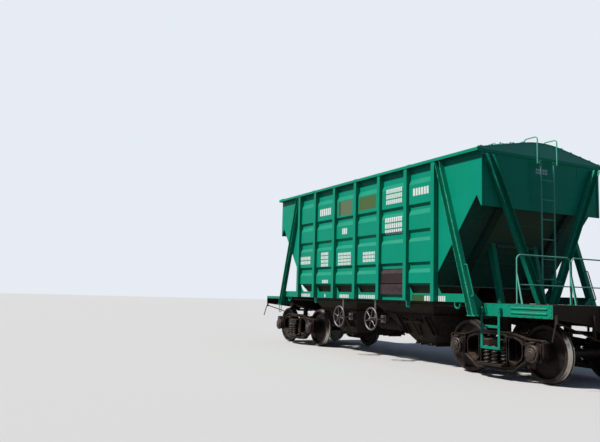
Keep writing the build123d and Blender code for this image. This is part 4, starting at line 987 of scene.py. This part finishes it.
def bogie_fittings():
    """One side of a bogie about its own middle: bolt rows on the web, a lug over each box, a rod with its jaws."""
    column = every((-0.340, 0.340), -WEB_Y, up((0.40, 0.47, 0.54, 0.61)))
    chord = every((-1.05, -0.99, -0.86, -0.80, 0.80, 0.86, 0.99, 1.05), -WEB_Y, up(0.664))
    lug = eased_block((-0.050, -1.150, up(0.632)), (0.050, -1.090, up(0.668)), 0.008)
    rib = eased_block((-0.008, -1.092, up(0.560)), (0.008, -1.040, up(0.696)), 0.002)
    rod = carry(circle(0.014, 12), places((-BEAM_X, 0, BEAM_X), ROD_Y, ROD_Z), UP)
    jaw = eased_block((-0.045, ROD_Y - 0.030, ROD_Z - 0.035), (0.045, ROD_Y + 0.030, ROD_Z + 0.035), 0.008)
    pin = drum(0.012, 0.016, -0.050, 0.050, (0, ROD_Y, ROD_Z), ACROSS, 12)
    repeated = ((lug, AXLE_X), (rib, 0.735), (rib, 1.108), (jaw, BEAM_X - 0.02), (pin, BEAM_X - 0.03))
    return joined([bolts(column, OUT, 1.2), bolts(chord, OUT, 1.1), rod]
                  + [copies(one, every((-x, x), 0, 0)) for one, x in repeated])


one_bogie = both(bogie_fittings(), 1)
for end, middle in ENDS:
    make_piece("bogie_fittings_" + end, copies(one_bogie, (middle, 0, 0)), cast_steel, "bogie_" + end)
print("bogie fittings have", len(one_bogie[1]), "quads")

# %% [markdown]
# ## Hand wheels, reservoir and brake cylinder
# Each hand wheel sits on a squared shaft end under a nut, and its gear case has a bolted lid. All of these are
# round, so each is a profile turned about the shaft.

# %% Hand wheel fittings
WHEEL_X, WHEEL_Y, WHEEL_Z = 0.680, -1.550, up(0.860)
COLLAR_Y, CASE_Y = -1.420, -1.230


def wheel_fittings():
    """Nut, washer and collar turned about the shaft, and the gear case's lid with six bolts on a circle."""
    hub, collar_at, case = ((WHEEL_X, y, WHEEL_Z) for y in (WHEEL_Y, COLLAR_Y, CASE_Y))
    nut = turned([(0.019, 0.028), (0.022, 0.031), (0.022, 0.048), (0.016, 0.053)], hub, OUT, 6)
    washer = drum(0.030, 0.032, 0.026, 0.034, hub, OUT, 24)
    collar = drum(0.021, 0.034, -0.020, 0.020, collar_at, ACROSS, 20)
    lid = turned([(0.062, 0.000), (0.062, 0.010), (0.056, 0.014), (0.030, 0.016)], case, OUT, 28)
    u, v = circle(0.050, 6).T
    heads = bolts(places(WHEEL_X + u, CASE_Y - 0.013, WHEEL_Z + v), OUT, 0.8)
    return joined([nut, washer, collar, lid, heads])


all_wheels = at_four(wheel_fittings())
make_piece("hand_wheel_fittings", all_wheels, worn_iron)
print("hand wheel fittings have", len(all_wheels[1]), "quads")

# %% [markdown]
# The reservoir is rolled sheet, so it has seams, straps and a drain. The cylinder has rings round it and a
# circle of bolts on its flange.

# %% Air fittings
TANK_R, TANK = 0.150, np.array([0, -0.470, up(0.740)])
CYLINDER = np.array([-2.540, -0.430, up(1.110)])
FLANGE_FACE = CYLINDER - (0.440, 0, 0)
seam = turned([(TANK_R - 0.001, -0.005), (TANK_R + 0.003, 0.0), (TANK_R - 0.001, 0.005)], TANK, ALONG, 48)
strap = drum(TANK_R - 0.001, TANK_R + 0.005, -0.022, 0.022, TANK, ALONG, 48)
drain = turned([(0.016, 0.0), (0.016, 0.030), (0.009, 0.034), (0.009, 0.055)], TANK - (0, 0, TANK_R - 0.004),
               (0, 0, -1), 12)
flange_bolts = bolts(FLANGE_FACE + places(0, *circle(0.178, 10).T), (-1, 0, 0), 1.1)
dome = turned([(0.160, 0.0), (0.150, 0.020), (0.110, 0.034), (0.050, 0.040)], FLANGE_FACE, (-1, 0, 0), 32)
ring = drum(0.1695, 0.176, -0.008, 0.008, CYLINDER * (0, 1, 1), ALONG, 48)
air_parts = [copies(seam, every((-0.42, 0, 0.42), 0, 0)), copies(strap, every((-0.28, 0.28), 0, 0)), drain,
             flange_bolts, dome, copies(ring, every((-2.85, -2.74, -2.63, -2.56), 0, 0))]
make_piece("air_fittings", joined(air_parts), under_paint)
print("reservoir of radius", TANK_R)

# %% [markdown]
# ## Couplers and outlets
# The coupler's head is a rough casting with a hinge boss for its lock lever, and a chain hangs from that lever
# to the uncoupling rod. A chain link is a ring stretched along one axis, and each next link is turned a
# quarter. The outlets below are held by bolts along their flanges.

# %% Chain, coupler boss and outlet bolts
LEVER_X, LEVER_Y, ROD_END = 5.800, -0.205, (5.560, -0.262, up(0.722))
CHAIN_SAG, CHAIN_LINKS = 0.05, 12
OUTLET_FLANGE = up(0.408)


def link(reach=0.020, radius=0.011, wire=0.0035):
    """Circle of the radius in x and z, its halves drawn apart along x by tanh(4 cos a) * (reach - radius)."""
    u, v = circle(1.0, 24).T
    path = places(radius * u + np.tanh(4 * u) * (reach - radius), 0, radius * v)
    return carry(circle(wire, 6), path, ACROSS, wrap=True)


def chain(start, end, sag, count):
    """Links along a hanging line: start + (end - start) s with 4 s (1 - s) sag taken from its height. Each
    link lies along the line's slope there, and every second one is turned a quarter."""
    start, end, drop = np.array(start), np.array(end), np.array((0, 0, 4 * sag))
    number = np.arange(count)[:, None]
    s = (number + 0.5) / count
    ahead = unit(end - start - (1 - 2 * s) * drop)
    side = unit(np.cross(ahead, (0.3, 0.2, 1.0)))
    top = np.cross(ahead, side)
    odd = number % 2 == 1
    turns = np.stack([ahead, np.where(odd, top, side), np.where(odd, -side, top)], 1)
    return copies(link(), start + (end - start) * s - s * (1 - s) * drop, turns)


def coupler_fittings():
    """Boss and lever on the head's near side, and the chain to the uncoupling rod."""
    boss = turned([(0.050, -0.004), (0.050, 0.012), (0.044, 0.018), (0.024, 0.020), (0.020, 0.034), (0.0, 0.034)],
                  (LEVER_X, LEVER_Y, up(1.030)), OUT, 24)
    arm = eased_block((LEVER_X - 0.020, LEVER_Y - 0.034, up(0.905)), (LEVER_X + 0.020, LEVER_Y - 0.018, up(1.045)),
                      0.005)
    hung = chain((LEVER_X, LEVER_Y - 0.026, up(0.908)), ROD_END, CHAIN_SAG, CHAIN_LINKS)
    return joined([boss, arm, hung])


near_coupler = coupler_fittings()
make_piece("coupler_fittings", joined([near_coupler, flipped(flipped(near_coupler, 0), 1)]), rusty_iron)

outlet_spots = np.concatenate([every(np.linspace(1.225, 1.845, 7), -0.722, OUTLET_FLANGE),
                               every((1.2165, 1.8535), np.linspace(-0.33, -0.70, 4), OUTLET_FLANGE)])
make_piece("outlet_bolts", at_four(bolts(outlet_spots, UP, 0.9)), hopper_dirt)
print("chain links and outlet bolts made")

# %% [markdown]
# ## Ribs and gate gear on the funnels
# A funnel's outer face leans, so its pieces are made upright, on a plane, and moved onto it: a point given by
# its place along the wagon, how far it stands off the sheet and its height goes to the leaning face by one
# formula. Channels stiffen the sheet on both sides, and a shaft with a lever works the gate.

# %% Funnel fittings
FACE_LOW, FACE_Y, FACE_LEAN = 0.400, 0.7085, 0.792 / 1.185
FACE_OUT = np.array([0.0, -1.0, -FACE_LEAN]) / math.hypot(1.0, FACE_LEAN)
CHANNELS, CHANNEL_WIDE, CHANNEL_SHEET = (1.050, 1.985), 0.147, 0.012
GEAR_X, BEARINGS = 1.535, (1.300, 1.770)


def on_face(one):
    """Local (x, off, height) moved to (x, -(FACE_Y + lean * (height - low)), height) + off * outward."""
    x, off, z = one[0].T
    return places(x, -(FACE_Y + FACE_LEAN * (z - FACE_LOW)), up(z)) + off[:, None] * FACE_OUT, one[1]


def gusset(x, off, thick, top=0.140, low=0.050, z_top=0.93, z_low=0.58):
    """Plate from off to off + thick, about x: x +- half(z), where the half width shrinks from top to low."""
    half = np.array([[top * 0.97, top, top, low, low, low * 0.9]]).T
    z = np.array([[z_top, z_top - 0.004, z_top - 0.05, z_low + 0.03, z_low + 0.004, z_low]]).T
    return shell(places(x + half * (-1, 1, 1, -1), (off, off, off + thick, off + thick), z))


def funnel_fittings():
    """Channel flanges and feet, ledge, gusset, shaft in two bearings, lever, handle and seam of one funnel."""
    flanges = [eased_block((x, -0.004, 0.62), (x + CHANNEL_SHEET, 0.062, 0.975), 0.003)
               for channel in CHANNELS for x in (channel, channel + CHANNEL_WIDE - CHANNEL_SHEET)]
    feet = [eased_block((x, -0.004, 0.60), (x + CHANNEL_WIDE, 0.062, 0.62), 0.003) for x in CHANNELS]
    ledge = eased_block((0.96, -0.004, 0.955), (1.85, 0.040, 0.967), 0.002)
    u, v = circle(1.0, 28).T
    loop = places(GEAR_X + 0.075 * u, 0.070, 0.560 + 0.026 * v)
    handle = carry(circle(0.009, 8), loop, ACROSS, wrap=True)
    shaft = drum(0.018, 0.022, -0.300, 0.300, (GEAR_X, 0.052, 0.875), ALONG, 16, 0.004)
    bearings = [eased_block((x - 0.028, -0.003, 0.835), (x + 0.028, 0.080, 0.915), 0.008) for x in BEARINGS]
    lever = eased_block((GEAR_X - 0.013, 0.055, 0.560), (GEAR_X + 0.013, 0.085, 0.900), 0.006)
    heads = bolts(every(np.add.outer(BEARINGS, (-0.014, 0.014)).ravel(), 0.080, (0.85, 0.90)), ACROSS, 0.8)
    seam = weld((1.10, 0.0, 0.640), (1.98, 0.0, 0.640), UP, 0.004)
    return on_face(joined(flanges + feet + bearings + [gusset(GEAR_X, 0.030, 0.008), ledge, handle, shaft, lever,
                                                       seam, heads]))


def funnel_shades():
    """Dark plates inside the two channels, standing 3 mm off the sheet: painted shade for the shadow between the
    flanges.
    """
    return on_face(joined([eased_block((x + CHANNEL_SHEET, -0.004, 0.622),
                                       (x + CHANNEL_WIDE - CHANNEL_SHEET, 0.003, 0.97), 0.001) for x in CHANNELS]))


# Painted shade: a dark mottled material for the plates inside the channels.
channel_shade, tree, shader = new_material("channel_shade", 0.62)
dress(shader, blend(ramp(noise(coordinate(tree), 9.0, 4.0), 0.35, 0.75), srgb(26, 25, 26), srgb(62, 56, 50)))
make_piece("funnel_fittings", at_four(funnel_fittings()), hopper_dirt)
make_piece("funnel_channels", at_four(funnel_shades()), channel_shade)
print("funnel fittings on four faces:", made["funnel_fittings"], "faces")

# %% [markdown]
# ## Roof walk, cover plate and hoop plates
# The boards of the roof walk are tied by battens and held by pairs of bolts over each bracket.

# %% Planks and bolts of the roof walk
BOARD_TOP, BOARD_WIDE, BOARD_HALF, BOARDS = up(4.310), 0.076, 3.178, (0.453, 0.537, 0.621)
planks = [eased_block((-BOARD_HALF, y, BOARD_TOP - 0.001), (BOARD_HALF, y + BOARD_WIDE, BOARD_TOP + 0.005), 0.002)
          for y in BOARDS]
batten = eased_block((-0.030, 0.452, BOARD_TOP + 0.003), (0.030, 0.698, BOARD_TOP + 0.011), 0.003)
board_bolts = np.add.outer(BOARDS, (0.022, 0.054)).ravel()
walk_spots = every(np.linspace(-3.06, 3.06, 6), board_bolts, BOARD_TOP + 0.005)
walk = planks + [copies(batten, every((-3.145, -1.224, 0.0, 1.224, 3.145), 0, 0)), bolts(walk_spots, UP, 0.6)]
make_piece("walk_planks", both(joined(walk), 1), deck_dirt)
print("plank bolts:", 2 * len(walk_spots))

# %% [markdown]
# On one panel of the right side a dark plate covers the lowest opening, and the hoops over the ladder stand on
# small plates. Each is an eased block with bolts.

# %% Cover plate and hoop plates
HOOP_X, HOOP_Y = 3.850, 0.25
umber_plate, tree, shader = new_material("umber_plate", 0.55)
place = coordinate(tree)
umber = blend(ramp(noise(place, 6.0, 4.0), 0.30, 0.75), UMBER, srgb(84, 68, 66))
dress(shader, umber, None, noise(place, 30.0, 3.0), 0.003, 0.5)
plate = eased_block((1.030, -PANEL_Y - 0.004, up(1.395)), (1.875, -PANEL_Y + 0.004, up(1.605)), 0.002)
plate_spots = every((1.06, 1.33, 1.60, 1.845), -PANEL_Y - 0.004, up((1.415, 1.585)))
make_piece("cover_plate", joined([plate, bolts(plate_spots, OUT, 0.9)]), umber_plate)

hoop_plate = joined([eased_block((-0.035, -0.030, 0.0), (0.035, 0.030, 0.006), 0.003),
                     bolts(every((-0.022, 0.022), 0, 0.006), UP, 0.6)])
hoop_spots = every(HOOP_X, (-HOOP_Y, HOOP_Y), roof_height(HOOP_Y) - 0.001)
make_piece("hoop_plates", copies(hoop_plate, hoop_spots), green_paint)
print("bolts on the cover plate:", len(plate_spots), "hoop plates:", len(hoop_spots))

# %% [markdown]
# ## Sizes
# The box round the visible pieces is measured and printed with the number of pieces made and their faces. The
# dressed wagon must not be larger than its CAD model.

# %% Print the sizes
low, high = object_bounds()
print("pieces made:", len(made), "with", sum(made.values()), "faces; box", [round(v, 3) for v in low],
      [round(v, 3) for v in high])
